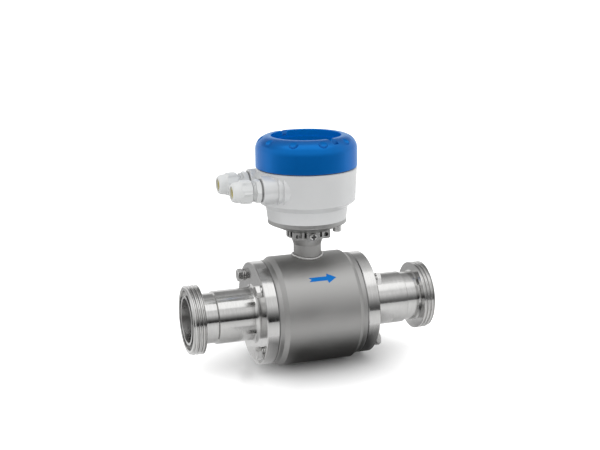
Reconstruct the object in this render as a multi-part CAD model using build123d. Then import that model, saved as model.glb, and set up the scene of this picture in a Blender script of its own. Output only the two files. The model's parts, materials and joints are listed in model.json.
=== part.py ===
from build123d import *
import math
import os

# Electromagnetic flow meter, millimetres.
# Frame: X is the flow direction, Z is up through the converter, the origin is where the two axes cross.

# Flow line
BORE_R = 25.0
LINER_T = 2.5
METER_TUBE_T = 2.4
LINER_GAP = 0.1
FACE_X = 143.5
PIPE_T = 3.3
PIPE_LAND = 15.3

# Round-thread couplings
THREAD_R = 39.0
THREAD_PITCH = 25.4 / 6
THREAD_DEPTH = 2.1
THREAD_CREST = 0.9
THREAD_COUNT = 3
COUPLING_LENGTH = 14.6
COUPLING_BEVEL = 1.2
COUPLING_WALL = 5.6
WELD_BEAD = 1.6
LIP_T = 2.8
SEAL_RECESS_DEPTH = 4.5

# Flange bolts, M8
BOLT_CIRCLE_R = 50.5
BOLT_COUNT = 4
BOLT_START_ANGLE = 45.0
BOLT_R = 4.0
BOLT_HOLE_R = 4.5
BOLT_HEAD_AF = 13.0
BOLT_HEAD_H = 5.3
BOLT_HEAD_BEVEL = 0.7
BOLT_GRIP_IN_RING = 8.0
TAPPED_GAP = 0.08
WASHER_R = 6.7
WASHER_T = 2.0
WASHER_SPLIT = 1.6
WASHER_SPLIT_ANGLE = 20.0

# Flange adapters
FLANGE_MARGIN = 8.1
FLANGE_T = 14.5
FLANGE_BEVEL = 1.0
HUB_STEP = 1.7
HUB_FILLET = 4.6
PIPE_BEVEL = 1.2

# Gaskets between flange and sensor
GASKET_T = 0.5
GASKET_INSET = 0.5

# Sensor housing
RING_FACE_X = 51.5
RING_LAND = 5.0
RING_CONE = 5.0
RING_BEVEL = 0.5
RING_SPIGOT = 4.0
RING_SPIGOT_T = 5.0
SHELL_STEP = 3.7
SHELL_T = 2.5
WELD_GAP = 0.1

# Electrodes
ELECTRODE_HEAD_R = 5.0
ELECTRODE_HEAD_T = 1.6
ELECTRODE_STEM_R = 2.0
ELECTRODE_TAIL = 10.0
ELECTRODE_BUSH_R = 3.6
ELECTRODE_BUSH_STEP = 1.0
ELECTRODE_BUSH_FLANGE_R = 6.0
ELECTRODE_BUSH_FLANGE_T = 2.4
ELECTRODE_NUT_AF = 7.0
ELECTRODE_NUT_H = 3.2

# Field coils and magnet circuit
POLE_ANGLE = 36.0
POLE_T = 2.4
POLE_LENGTH = 56.0
POLE_GAP = 0.4
CORE_R = 10.0
COIL_GAP = 0.4
COIL_R = 21.0
COIL_H = 11.0
COIL_EDGE = 2.0
YOKE_GAP = 4.8
YOKE_T = 3.0
YOKE_WIDTH = 44.0

# Neck
NECK_R = 15.75
NECK_T = 2.4
NECK_H = 13.5
NECK_WELD_W = 2.35
NECK_WELD_H = 2.2
FLARE_H = 9.5
FLARE_STEP = 2.75
FLARE_RIM = 0.9

# Stop collar under the converter
COLLAR_H = 8.0
COLLAR_STEP = 1.9
COLLAR_FLOOR_T = 1.6
TOOTH_H = 3.2
TOOTH_W = 3.0
TOOTH_COUNT = 24
TOOTH_ROOT = 0.5
EAR_INSET = 2.0
EAR_T = 4.5
EAR_Y = -13.0
EAR_H = 9.4
EAR_CORNER = 2.2
EAR_HOLE_R = 2.3
CLAMP_W = 15.0
CLAMP_H = 9.0
CLAMP_REACH = 0.6
CLAMP_CORNER = 2.0
CLAMP_WEB = 2.0
CLAMP_SCREW_R = 2.5
CLAMP_SCREW_HEAD_R = 4.3
CLAMP_SCREW_HEAD_H = 3.0
CLAMP_SCREW_HEAD_ROUND = 2.1
CLAMP_SCREW_CLEARANCE = 0.3
CLAMP_SCREW_X = -1.2
CROSS_SLOT_W = 1.5
CROSS_SLOT_L = 5.4
CROSS_SLOT_D = 2.2

# Base plate
PLATE_R = 44.6
PLATE_CONE_H = 8.4
PLATE_RIM_H = 4.6
PLATE_SEAT_MARGIN = 2.4
PLATE_SEAT_ROUND = 1.0
PLATE_EDGE_ROUND = 1.2
PLATE_SPIGOT_INSET = 5.6
PLATE_SPIGOT_H = 3.0
BASE_SCREW_CIRCLE_R = 34.0
BASE_SCREW_ANGLES = (-20.0, 110.0)
BASE_SCREW_R = 3.0
BASE_SCREW_HEAD_R = 5.2
BASE_SCREW_HEAD_H = 9.4
BASE_SCREW_HEAD_ROUND = 0.8
BASE_SCREW_SEAT_H = 5.6
BASE_SCREW_SEAT_GAP = 0.6
BASE_SCREW_SOCKET_AF = 5.0
BASE_SCREW_SOCKET_D = 3.0
BASE_SCREW_GRIP = 8.0

# Converter housing
FOOT_H = 14.1
FOOT_DRAFT = 1.8
FOOT_ROUND = 1.6
STEP_H = 6.6
BODY_R = 56.7
BODY_H = 37.0
BODY_DRAFT = 1.7
BODY_BEVEL = 1.0
HOUSING_T = 3.6
HOUSING_FLOOR_T = 7.0
HOUSING_FLOOR_ROUND = 2.0
LEDGE_RISE = 0.5
SPIGOT_SHOULDER = 5.9
SPIGOT_H = 12.5
SPIGOT_T = 2.6
SCREW_PILLAR_R = 6.0
SCREW_PILLAR_H = 5.0

# Cable glands, M20, on the inlet side
GLAND_RISE = 0.5
GLAND_Y = 24.0
BOSS_MARGIN = 2.5
BOSS_STANDOFF = 4.3
BOSS_ROUND = 1.0
BOSS_ROOT = 24.0
PAD_STEPS = ((2.5, 16.0), (5.5, 21.0))
GLAND_THREAD_R = 10.0
GLAND_THREAD_L = 9.0
GLAND_WASHER_R = 12.6
GLAND_WASHER_T = 1.4
GLAND_HEX_AF = 24.0
GLAND_HEX_T = 9.0
GLAND_HEX_BEVEL = 0.8
GLAND_NECK_R = 9.6
GLAND_NECK_L = 10.6
GLAND_BORE_R = 7.2
GLAND_NUT_HEX_L = 12.0
GLAND_DOME_R = 12.0
GLAND_DOME_L = 10.0
GLAND_DOME_ROUND = 5.0
GLAND_MOUTH_R = 6.9
GLAND_MOUTH_T = 2.2
GLAND_FIT = 0.08
SEAL_R = 8.6
SEAL_BORE_R = 5.4
SEAL_L = 8.8
SEAL_GAP = 0.3
SEAL_ROUND = 0.8
FRONT_NUT_BACKOFF = 0.8
BACK_NUT_BACKOFF = 3.2

# Cover
COVER_SEAM = 0.9
COVER_OVERHANG = 0.3
COVER_SIDE_H = 20.1
SHOULDER_R = 15.2
RIM_W = 2.6
RIM_ROUND = 0.5
WELL_DEPTH = 16.2
WELL_STEP_DEPTH = 7.8
WELL_STEP_W = 1.4
COVER_T = 3.0
COVER_ROOF_T = 6.0
COVER_THREAD_GAP = 0.3
COVER_INNER_ROUND = 7.5
COVER_FOOT_BEVEL = 0.8
DIMPLE_COUNT = 10
DIMPLE_PHASE = -88.0
DIMPLE_R = 6.5
DIMPLE_DEPTH = 2.8
DIMPLE_SLOPE = 50.7
NOTCH_ANGLE = -70.0
NOTCH_W = 8.4
NOTCH_FLOOR_W = 5.4
NOTCH_D = 5.6
NOTCH_INSET = 4.5
COVER_SEAL_INSET = 1.6
COVER_SEAL_T = 0.8

# Window in the well
WINDOW_INSET = 3.2
WINDOW_LEDGE_W = 3.0
WINDOW_LEDGE_T = 2.5
WINDOW_SEAL_T = 1.0
WINDOW_T = 5.0
WINDOW_FIT = 0.15
RETAINER_T = 2.0
SKIRT_T = 3.0

# Electronics
CARRIER_GAP = 2.6
CARRIER_T = 2.2
CARRIER_FLAT_INSET = 31.4
CARRIER_FOOT_GAP = 2.0
CARRIER_ROUND = 2.0
BOARD_T = 1.6
BOARD_GAP = 1.0
MAIN_BOARD_H = 8.0
POST_R = 3.0
POST_INSET = 8.6
POST_ANGLES = (50.0, 105.0, -105.0, -50.0)
MODULE_W = 30.0
MODULE_D = 34.0
MODULE_H = 18.0
MODULE_X = 8.0
MODULE_ROUND = 1.5
DISPLAY_BOARD_INSET = 2.0
DISPLAY_GAP = 3.9
DISPLAY_W = 44.0
DISPLAY_D = 25.0
DISPLAY_H = 4.0
DISPLAY_Y = 6.0
DISPLAY_ROUND = 1.0
KEY_PITCH = 12.0
KEY_COUNT = 4
KEY_Y = -17.5
KEY_R = 3.2
KEY_H = 2.8
KEY_ROUND = 0.5
KEY_LIFT = 0.7
KEY_FRAME_R = 4.4
KEY_FRAME_H = 1.8
KEY_GAP = 0.3
TERMINAL_W = 44.0
TERMINAL_D = 12.0
TERMINAL_H = 9.0
TERMINAL_INSET = 21.4
TERMINAL_BEVEL = 2.0
TERMINAL_WAYS = 8
TERMINAL_PITCH = 5.0
TERMINAL_WAY_R = 1.7
TERMINAL_WAY_DEPTH = 3.0
LEAD_COUNT = 5
LEAD_R = 1.0
LEAD_CIRCLE_R = 2.6
LEAD_X = 7.5
LEAD_PASS_R = 5.0
LEAD_START_GAP = 2.0

# How far a cutting body runs past the face it opens
CUT_OVER = 1.0

# Radii and places along the flow line
tube_in_r = BORE_R + LINER_T + LINER_GAP
tube_out_r = tube_in_r + METER_TUBE_T
pipe_r = BORE_R + PIPE_T
hub_r = pipe_r + HUB_STEP
lip_r = BORE_R + LIP_T
seal_recess_r = THREAD_R - COUPLING_WALL
flange_r = BOLT_CIRCLE_R + FLANGE_MARGIN
shell_r = flange_r + SHELL_STEP
shell_in_r = shell_r - SHELL_T
yoke_r = shell_in_r - YOKE_GAP
shell_end_x = RING_FACE_X - RING_LAND - RING_CONE
bolt_tip_x = RING_FACE_X - BOLT_GRIP_IN_RING
flange_in_x = RING_FACE_X + GASKET_T
flange_out_x = flange_in_x + FLANGE_T
coupling_x = FACE_X - COUPLING_LENGTH
pipe_end_x = coupling_x - WELD_BEAD
hub_end_x = pipe_end_x - PIPE_LAND
tapped_r = BOLT_R + TAPPED_GAP

# Radii of the neck and collar
neck_in_r = NECK_R - NECK_T
neck_weld_r = NECK_R + NECK_WELD_W
flare_r = NECK_R + FLARE_STEP
collar_r = flare_r + COLLAR_STEP
tooth_r = collar_r + TOOTH_H
ear_x = tooth_r - EAR_INSET
clamp_face_y = -tooth_r - CLAMP_REACH

# Heights, stacked from the shell up to the top of the cover
neck_top_z = shell_r + NECK_H
flare_top_z = neck_top_z + FLARE_H
plate_seat_z = flare_top_z + COLLAR_H
plate_edge_z = plate_seat_z + PLATE_CONE_H
plate_top_z = plate_edge_z + PLATE_RIM_H
foot_top_z = plate_top_z + FOOT_H
body_low_z = foot_top_z + STEP_H
body_top_z = body_low_z + BODY_H
spigot_top_z = body_top_z + SPIGOT_H
cover_bottom_z = body_top_z + COVER_SEAM
cover_side_top_z = cover_bottom_z + COVER_SIDE_H
cover_top_z = cover_side_top_z + SHOULDER_R
well_step_z = cover_top_z - WELL_STEP_DEPTH
well_floor_z = cover_top_z - WELL_DEPTH
housing_floor_z = plate_top_z + HOUSING_FLOOR_T
ledge_z = body_low_z + LEDGE_RISE
gland_z = body_low_z + BODY_H / 2 + GLAND_RISE
clamp_bottom_z = plate_seat_z - CLAMP_H
clamp_screw_z = plate_seat_z - CLAMP_SCREW_HEAD_R - CLAMP_SCREW_CLEARANCE
base_screw_seat_z = plate_seat_z + BASE_SCREW_SEAT_H

# Radii of the converter
foot_top_r = PLATE_R + FOOT_DRAFT
body_low_r = BODY_R - BODY_DRAFT
foot_in_r = PLATE_R - HOUSING_T
body_in_r = body_low_r - HOUSING_T
spigot_r = BODY_R - SPIGOT_SHOULDER
spigot_in_r = spigot_r - SPIGOT_T
plate_spigot_r = PLATE_R - PLATE_SPIGOT_INSET
cover_r = BODY_R + COVER_OVERHANG
well_r = cover_r - SHOULDER_R - RIM_W
window_r = well_r - WINDOW_INSET
window_view_r = window_r - WINDOW_LEDGE_W
carrier_r = spigot_in_r - CARRIER_GAP
carrier_flat_x = CARRIER_FLAT_INSET - body_in_r
terminal_x = TERMINAL_INSET - body_in_r

# Boss and pad of a gland, and places along it outwards from the boss
boss_r = BODY_H / 2 - GLAND_RISE - BOSS_MARGIN
boss_face_x = -BODY_R - BOSS_STANDOFF
gland_hex_x = boss_face_x - GLAND_WASHER_T
gland_neck_x = gland_hex_x - GLAND_HEX_T
gland_end_x = gland_neck_x - GLAND_NECK_L

# Heights inside the cover, downwards from the floor of the well
ledge_bottom_z = well_floor_z - WINDOW_LEDGE_T
window_top_z = ledge_bottom_z - WINDOW_SEAL_T
window_bottom_z = window_top_z - WINDOW_T
skirt_bottom_z = window_bottom_z - RETAINER_T
display_board_top_z = window_bottom_z - DISPLAY_GAP - DISPLAY_H
carrier_top_z = display_board_top_z - BOARD_T
main_board_z = ledge_z + MAIN_BOARD_H

os.makedirs("parts", exist_ok=True)


def save(name, shape):
    """Writes one piece, or one group of like pieces, as a STEP file."""
    export_step(shape, f"parts/{name}.step")


def outline(*corners):
    """Closed flat outline; a corner is (a, b), or (a, b, r) where it is rounded with radius r."""
    points = [corner[:2] for corner in corners]
    radii = [corner[2] if len(corner) > 2 else 0 for corner in corners]
    return make_face(FilletPolyline(*points, radius=radii, close=True))


def turned_x(section):
    """Turns a section drawn as (x, radius) about the flow axis."""
    return revolve(section, Axis.X)


def turned_z(section):
    """Turns a section drawn as (radius, z) about the converter axis."""
    return revolve(Plane.XZ * section, Axis.Z)


def mirrored(shape):
    """The same piece at the other end of the flow line."""
    return mirror(shape, Plane.YZ)


def rod_x(radius, x_from, x_to, y=0.0, z=0.0):
    """Round bar along the flow axis."""
    return Pos((x_from + x_to) / 2, y, z) * Rot(0, 90, 0) * Cylinder(radius, abs(x_to - x_from))


def rod_y(radius, y_from, y_to, x=0.0, z=0.0):
    """Round bar across the flow axis."""
    return Pos(x, (y_from + y_to) / 2, z) * Rot(90, 0, 0) * Cylinder(radius, abs(y_to - y_from))


def rod_z(radius, z_from, z_to, x=0.0, y=0.0):
    """Round upright bar."""
    return Pos(x, y, (z_from + z_to) / 2) * Cylinder(radius, abs(z_to - z_from))


def ring_x(r_in, r_out, x_from, x_to):
    return rod_x(r_out, x_from, x_to) - rod_x(r_in, x_from, x_to)


def ring_z(r_in, r_out, z_from, z_to):
    return rod_z(r_out, z_from, z_to) - rod_z(r_in, z_from, z_to)


def on_circle(radius, degrees):
    """The two coordinates of a point on a circle."""
    return radius * math.cos(math.radians(degrees)), radius * math.sin(math.radians(degrees))


def hexagon_bar(across_flats, length, bevel=0.0):
    """Upright hexagon standing on z = 0, its top corners turned off by the bevel."""
    corner_r = across_flats / math.sqrt(3)
    bar = extrude(RegularPolygon(corner_r, 6), length)
    if bevel > 0:
        turned = outline((0, 0), (corner_r, 0), (corner_r, length - bevel), (corner_r - 2 * bevel, length), (0, length))
        bar = bar & turned_z(turned)
    return bar


def bolt_places():
    """Corners of the flange bolt square, as (y, z)."""
    return [on_circle(BOLT_CIRCLE_R, BOLT_START_ANGLE + 360 / BOLT_COUNT * i) for i in range(BOLT_COUNT)]


# Couplings

def thread_outline():
    """Outer edge of the round thread from the sealing face to the back, as (x, radius) pieces of line and arc."""
    root_r = THREAD_R - THREAD_DEPTH
    half = (THREAD_PITCH - THREAD_CREST) / 2
    edges = [Line((FACE_X, seal_recess_r), (FACE_X, root_r)),
             Line((FACE_X, root_r), (FACE_X - COUPLING_BEVEL, THREAD_R))]
    x = FACE_X - COUPLING_BEVEL
    for _ in range(THREAD_COUNT):
        edges.append(Line((x, THREAD_R), (x - THREAD_CREST, THREAD_R)))
        x -= THREAD_CREST
        edges.append(ThreePointArc((x, THREAD_R), (x - half, root_r), (x - 2 * half, THREAD_R)))
        x -= 2 * half
    edges.append(Line((x, THREAD_R), (coupling_x, THREAD_R)))
    return edges


def make_coupling():
    """Male round-thread coupling with its sealing recess, and the weld bead at the pipe."""
    edges = thread_outline()
    edges += [Line((coupling_x, THREAD_R), (coupling_x, pipe_r + WELD_BEAD)),
              RadiusArc((coupling_x, pipe_r + WELD_BEAD), (pipe_end_x, pipe_r), -WELD_BEAD),
              Polyline((pipe_end_x, pipe_r), (pipe_end_x, BORE_R), (FACE_X, BORE_R), (FACE_X, lip_r),
                       (FACE_X - SEAL_RECESS_DEPTH, lip_r), (FACE_X - SEAL_RECESS_DEPTH, seal_recess_r),
                       (FACE_X, seal_recess_r))]
    return turned_x(make_face(Curve() + edges))


# Flange adapters

def make_adapter():
    """Flange, hub and pipe turned in one piece, drilled for the bolts."""
    section = outline(
        (flange_in_x, BORE_R), (flange_in_x, flange_r - FLANGE_BEVEL), (flange_in_x + FLANGE_BEVEL, flange_r),
        (flange_out_x - FLANGE_BEVEL, flange_r), (flange_out_x, flange_r - FLANGE_BEVEL),
        (flange_out_x, hub_r, HUB_FILLET), (hub_end_x, hub_r), (hub_end_x + PIPE_BEVEL, pipe_r),
        (pipe_end_x, pipe_r), (pipe_end_x, BORE_R))
    adapter = turned_x(section)
    for y, z in bolt_places():
        adapter -= rod_x(BOLT_HOLE_R, flange_in_x - CUT_OVER, flange_out_x + CUT_OVER, y, z)
    return adapter


def make_bolts():
    """Hexagon bolts of one flange."""
    seat_x = flange_out_x + WASHER_T
    bolts = []
    for y, z in bolt_places():
        head = Pos(seat_x, y, z) * Rot(0, 90, 0) * hexagon_bar(BOLT_HEAD_AF, BOLT_HEAD_H, BOLT_HEAD_BEVEL)
        bolts.append(head + rod_x(BOLT_R, bolt_tip_x, seat_x, y, z))
    return Compound(children=bolts)


def make_washers():
    """Split spring washers under the bolt heads of one flange."""
    washers = []
    for y, z in bolt_places():
        ring = rod_x(WASHER_R, flange_out_x, flange_out_x + WASHER_T, y, z)
        ring -= rod_x(BOLT_HOLE_R, flange_out_x - CUT_OVER, flange_out_x + WASHER_T + CUT_OVER, y, z)
        slot = Rot(0, 0, WASHER_SPLIT_ANGLE) * Box(3 * WASHER_T, 2 * WASHER_R, WASHER_SPLIT)
        washers.append(ring - Pos(flange_out_x + WASHER_T / 2, y + WASHER_R, z) * slot)
    return Compound(children=washers)


def make_gasket():
    """Flat gasket between the flange and the sensor, flush with the bore."""
    gasket = ring_x(BORE_R, flange_r - GASKET_INSET, RING_FACE_X, flange_in_x)
    for y, z in bolt_places():
        gasket -= rod_x(BOLT_HOLE_R, RING_FACE_X - CUT_OVER, flange_in_x + CUT_OVER, y, z)
    return gasket


# Sensor

def make_end_ring():
    """End ring of the sensor: land, cone, spigot for the shell, and blind threaded holes."""
    hole_r = tube_out_r + WELD_GAP
    section = outline(
        (RING_FACE_X, hole_r), (RING_FACE_X, flange_r - RING_BEVEL), (RING_FACE_X - RING_BEVEL, flange_r),
        (RING_FACE_X - RING_LAND, flange_r), (shell_end_x, shell_r), (shell_end_x, shell_in_r - WELD_GAP),
        (shell_end_x - RING_SPIGOT, shell_in_r - WELD_GAP), (shell_end_x - RING_SPIGOT, shell_in_r - RING_SPIGOT_T),
        (shell_end_x, shell_in_r - RING_SPIGOT_T), (shell_end_x, hole_r))
    ring = turned_x(section)
    for y, z in bolt_places():
        ring -= rod_x(tapped_r, bolt_tip_x - TAPPED_GAP, RING_FACE_X + CUT_OVER, y, z)
    return ring


def make_shell():
    """Welded sensor shell, open under the neck."""
    shell = ring_x(shell_in_r, shell_r, -shell_end_x, shell_end_x)
    return shell - rod_z(neck_in_r, 0, shell_r + CUT_OVER)


def make_measuring_tube():
    """Non-magnetic measuring tube with a hole for each electrode."""
    tube = ring_x(tube_in_r, tube_out_r, -RING_FACE_X, RING_FACE_X)
    return tube - rod_y(ELECTRODE_BUSH_R + LINER_GAP, -shell_r, shell_r)


def make_liner():
    """Moulded liner with a seat for each electrode head."""
    liner = ring_x(BORE_R, BORE_R + LINER_T, -RING_FACE_X, RING_FACE_X)
    liner -= rod_y(ELECTRODE_STEM_R + LINER_GAP, -shell_r, shell_r)
    seat_y = BORE_R + ELECTRODE_HEAD_T
    return liner - rod_y(ELECTRODE_HEAD_R + LINER_GAP, -seat_y, seat_y)


def make_electrode(side):
    """Electrode: flush head and stem, on the side given by -1 or 1."""
    head = rod_y(ELECTRODE_HEAD_R, side * BORE_R, side * (BORE_R + ELECTRODE_HEAD_T))
    return head + rod_y(ELECTRODE_STEM_R, side * BORE_R, side * (tube_out_r + ELECTRODE_TAIL))


def make_electrode_bush(side):
    """Flanged insulating bush between the electrode stem and the tube."""
    seat_y = tube_out_r + LINER_GAP
    bush = rod_y(ELECTRODE_BUSH_R, side * (tube_in_r + LINER_GAP), side * (seat_y + ELECTRODE_BUSH_STEP))
    bush += rod_y(ELECTRODE_BUSH_FLANGE_R, side * seat_y, side * (seat_y + ELECTRODE_BUSH_FLANGE_T))
    return bush - rod_y(ELECTRODE_STEM_R + LINER_GAP, -shell_r, shell_r)


def make_electrode_nuts():
    """Nuts that pull the two electrodes against the liner."""
    seat_y = tube_out_r + LINER_GAP + ELECTRODE_BUSH_FLANGE_T
    nuts = []
    for side in (-1, 1):
        nut = Pos(0, side * seat_y, 0) * Rot(-90 * side, 0, 0) * hexagon_bar(ELECTRODE_NUT_AF, ELECTRODE_NUT_H)
        nuts.append(nut - rod_y(ELECTRODE_STEM_R + LINER_GAP, -shell_r, shell_r))
    return Compound(children=nuts)


def make_coil_core(side):
    """Pole core: curved shoe on the measuring tube and a round core up to the yoke."""
    shoe_in = tube_out_r + POLE_GAP
    shoe = ring_x(shoe_in, shoe_in + POLE_T, -POLE_LENGTH / 2, POLE_LENGTH / 2)
    across, up = on_circle(2 * shell_r, 90 - POLE_ANGLE)
    wedge = outline((0, 0), (across, up), (-across, up))
    shoe = shoe & extrude(Plane.YZ * wedge, POLE_LENGTH, both=True)
    core = rod_z(CORE_R, shoe_in + POLE_T / 2, yoke_r) & rod_x(yoke_r - YOKE_T - POLE_GAP, -2 * CORE_R, 2 * CORE_R)
    core -= rod_x(shoe_in + POLE_T / 2, -2 * CORE_R, 2 * CORE_R)
    return Rot(0 if side > 0 else 180, 0, 0) * (shoe + core)


def make_coil(side):
    """Wound field coil round a pole core."""
    foot_z = tube_out_r + POLE_GAP + POLE_T + COIL_GAP
    section = outline((CORE_R + COIL_GAP, foot_z, COIL_EDGE), (COIL_R, foot_z, COIL_EDGE),
                      (COIL_R, foot_z + COIL_H, COIL_EDGE), (CORE_R + COIL_GAP, foot_z + COIL_H, COIL_EDGE))
    return Rot(0 if side > 0 else 180, 0, 0) * turned_z(section)


def make_yoke():
    """Magnet yoke: a band round both pole cores, holed under the neck for the leads."""
    yoke = ring_x(yoke_r - YOKE_T, yoke_r, -YOKE_WIDTH / 2, YOKE_WIDTH / 2)
    return yoke - rod_z(LEAD_PASS_R, 0, shell_r, LEAD_X)


# Neck

def make_neck_tube():
    """Neck tube cut to sit on the shell, with the weld bead round its foot."""
    reach = neck_weld_r + CUT_OVER
    tube = ring_z(neck_in_r, NECK_R, 0, neck_top_z)
    bead = ring_z(neck_in_r, neck_weld_r, 0, neck_top_z) & rod_x(shell_r + NECK_WELD_H, -reach, reach)
    return tube + bead - rod_x(shell_r, -reach, reach)


def make_neck_flare():
    """Flared top of the neck that carries the stop collar."""
    return turned_z(outline(
        (neck_in_r, neck_top_z), (NECK_R, neck_top_z), (flare_r, flare_top_z - FLARE_RIM), (flare_r, flare_top_z),
        (neck_in_r, flare_top_z)))


def collar_ear(side):
    """One flat ear of the stop collar with its hole; side is -1 or 1."""
    plate = outline((0, 0), (side * ear_x, 0), (side * ear_x, -EAR_H, EAR_CORNER), (0, -EAR_H))
    ear = Pos(0, 0, plate_seat_z) * extrude(Plane.XZ.offset(-EAR_Y) * plate, EAR_T)
    hole_x = side * (ear_x - EAR_H / 2)
    return ear - rod_y(EAR_HOLE_R, EAR_Y - 2 * EAR_T, EAR_Y + 2 * EAR_T, hole_x, plate_seat_z - EAR_H / 2)


def clamp_block():
    """The block in front of the collar that the clamp screw goes through."""
    block = Box(CLAMP_W, -clamp_face_y, CLAMP_H)
    block = fillet(block.edges().filter_by(Axis.Y).group_by(Axis.Z)[0], CLAMP_CORNER)
    return Pos(CLAMP_SCREW_X, clamp_face_y / 2, clamp_bottom_z + CLAMP_H / 2) * block


def make_stop_collar():
    """Toothed stop collar with two ears and the clamp block in front."""
    floor_top_z = flare_top_z + COLLAR_FLOOR_T
    collar = ring_z(neck_in_r, collar_r, flare_top_z, plate_seat_z)
    collar += ring_z(neck_in_r, tooth_r, flare_top_z, floor_top_z)
    tooth_in_r = collar_r - TOOTH_ROOT
    tooth = Box(tooth_r - tooth_in_r, TOOTH_W, plate_seat_z - floor_top_z)
    tooth = Pos((tooth_in_r + tooth_r) / 2, 0, (floor_top_z + plate_seat_z) / 2) * tooth
    for place in PolarLocations(0, TOOTH_COUNT):
        collar += place * tooth
    collar += [collar_ear(-1), collar_ear(1), clamp_block()]
    collar -= rod_z(neck_in_r, 0, plate_top_z)
    collar -= rod_z(flare_r + WELD_GAP, 0, flare_top_z)
    screw_end_y = -neck_in_r - CLAMP_WEB
    return collar - rod_y(CLAMP_SCREW_R + TAPPED_GAP, clamp_face_y - CUT_OVER, screw_end_y, CLAMP_SCREW_X, clamp_screw_z)


def make_clamp_screw():
    """Pan-head clamp screw with a cross recess."""
    head = turned_z(outline(
        (0, 0), (CLAMP_SCREW_HEAD_R, 0), (CLAMP_SCREW_HEAD_R, CLAMP_SCREW_HEAD_H, CLAMP_SCREW_HEAD_ROUND),
        (0, CLAMP_SCREW_HEAD_H)))
    cross = Box(CROSS_SLOT_L, CROSS_SLOT_W, 2 * CROSS_SLOT_D) + Box(CROSS_SLOT_W, CROSS_SLOT_L, 2 * CROSS_SLOT_D)
    head -= Pos(0, 0, CLAMP_SCREW_HEAD_H) * cross
    shank = rod_z(CLAMP_SCREW_R, clamp_face_y + neck_in_r + CLAMP_WEB + TAPPED_GAP, 0)
    return Pos(CLAMP_SCREW_X, clamp_face_y, clamp_screw_z) * Rot(90, 0, 0) * (head + shank)


def base_screw_places():
    return [on_circle(BASE_SCREW_CIRCLE_R, angle) for angle in BASE_SCREW_ANGLES]


def make_base_plate():
    """Bare base plate under the converter, shallow cone below, spigot above."""
    spigot_z = plate_top_z + PLATE_SPIGOT_H
    plate = turned_z(outline(
        (neck_in_r, plate_seat_z), (tooth_r + PLATE_SEAT_MARGIN, plate_seat_z, PLATE_SEAT_ROUND),
        (PLATE_R, plate_edge_z, PLATE_EDGE_ROUND), (PLATE_R, plate_top_z), (plate_spigot_r, plate_top_z),
        (plate_spigot_r, spigot_z), (neck_in_r, spigot_z)))
    for x, y in base_screw_places():
        plate -= rod_z(BASE_SCREW_R + TAPPED_GAP, plate_seat_z, spigot_z + CUT_OVER, x, y)
        plate -= rod_z(BASE_SCREW_HEAD_R + BASE_SCREW_SEAT_GAP, plate_seat_z - CUT_OVER, base_screw_seat_z, x, y)
    return plate


def make_base_screws():
    """Socket-head screws that hold the base plate to the converter, seen hanging under it."""
    foot_z = base_screw_seat_z - BASE_SCREW_HEAD_H
    screws = []
    for x, y in base_screw_places():
        head = rod_z(BASE_SCREW_HEAD_R, foot_z, base_screw_seat_z, x, y)
        head = fillet(head.edges().group_by(Axis.Z)[0], BASE_SCREW_HEAD_ROUND)
        socket = Pos(x, y, foot_z) * hexagon_bar(BASE_SCREW_SOCKET_AF, BASE_SCREW_SOCKET_D)
        shank = rod_z(BASE_SCREW_R, base_screw_seat_z, plate_top_z + BASE_SCREW_GRIP, x, y)
        screws.append(head - socket + shank)
    return Compound(children=screws)


# Converter housing

def glands():
    """Name, place across the flow and how far the dome nut is backed off, for the two cable glands."""
    return (("front", -GLAND_Y, FRONT_NUT_BACKOFF), ("back", GLAND_Y, BACK_NUT_BACKOFF))


def make_housing():
    """Cast converter housing: stepped cup, threaded spigot for the cover, two cable bosses on flat pads."""
    housing = turned_z(outline(
        (0, plate_top_z), (PLATE_R, plate_top_z), (foot_top_r, foot_top_z, FOOT_ROUND),
        (body_low_r, body_low_z, FOOT_ROUND), (BODY_R, body_top_z - BODY_BEVEL), (BODY_R - BODY_BEVEL, body_top_z),
        (spigot_r, body_top_z), (spigot_r, spigot_top_z - BODY_BEVEL), (spigot_r - BODY_BEVEL, spigot_top_z),
        (0, spigot_top_z)))
    band = Box(3 * BODY_R, 3 * BODY_R, BODY_H - 2 * BODY_BEVEL)
    band = Pos(0, 0, body_low_z + BODY_H / 2) * band
    for _, y, _ in glands():
        for margin, step in PAD_STEPS:
            housing += rod_x(boss_r + margin, boss_face_x + step, -BOSS_ROOT, y, gland_z) & band
        boss = rod_x(boss_r, boss_face_x, -BOSS_ROOT, y, gland_z)
        housing += fillet(boss.edges().group_by(Axis.X)[0], BOSS_ROUND)
    housing -= turned_z(outline(
        (0, housing_floor_z), (foot_in_r, housing_floor_z, HOUSING_FLOOR_ROUND), (foot_in_r, ledge_z),
        (body_in_r, ledge_z), (body_in_r, body_top_z - HOUSING_T), (spigot_in_r, body_top_z),
        (spigot_in_r, spigot_top_z + CUT_OVER), (0, spigot_top_z + CUT_OVER)))
    for x, y in base_screw_places():
        housing += rod_z(SCREW_PILLAR_R, housing_floor_z, housing_floor_z + SCREW_PILLAR_H, x, y)
    housing -= rod_z(plate_spigot_r + WELD_GAP, plate_top_z - CUT_OVER, plate_top_z + PLATE_SPIGOT_H)
    housing -= rod_z(neck_in_r, plate_top_z - CUT_OVER, housing_floor_z + CUT_OVER)
    for x, y in base_screw_places():
        housing -= rod_z(BASE_SCREW_R + TAPPED_GAP, plate_top_z, plate_top_z + BASE_SCREW_GRIP + TAPPED_GAP, x, y)
    for _, y, _ in glands():
        housing -= rod_x(GLAND_THREAD_R + TAPPED_GAP, boss_face_x - CUT_OVER, -BOSS_ROOT, y, gland_z)
    return housing


# Cable glands

def make_gland_washer(y):
    """Flat sealing washer between gland and boss."""
    washer = rod_x(GLAND_WASHER_R, gland_hex_x, boss_face_x, y, gland_z)
    return washer - rod_x(GLAND_THREAD_R + TAPPED_GAP, gland_hex_x - CUT_OVER, boss_face_x + CUT_OVER, y, gland_z)


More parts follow.
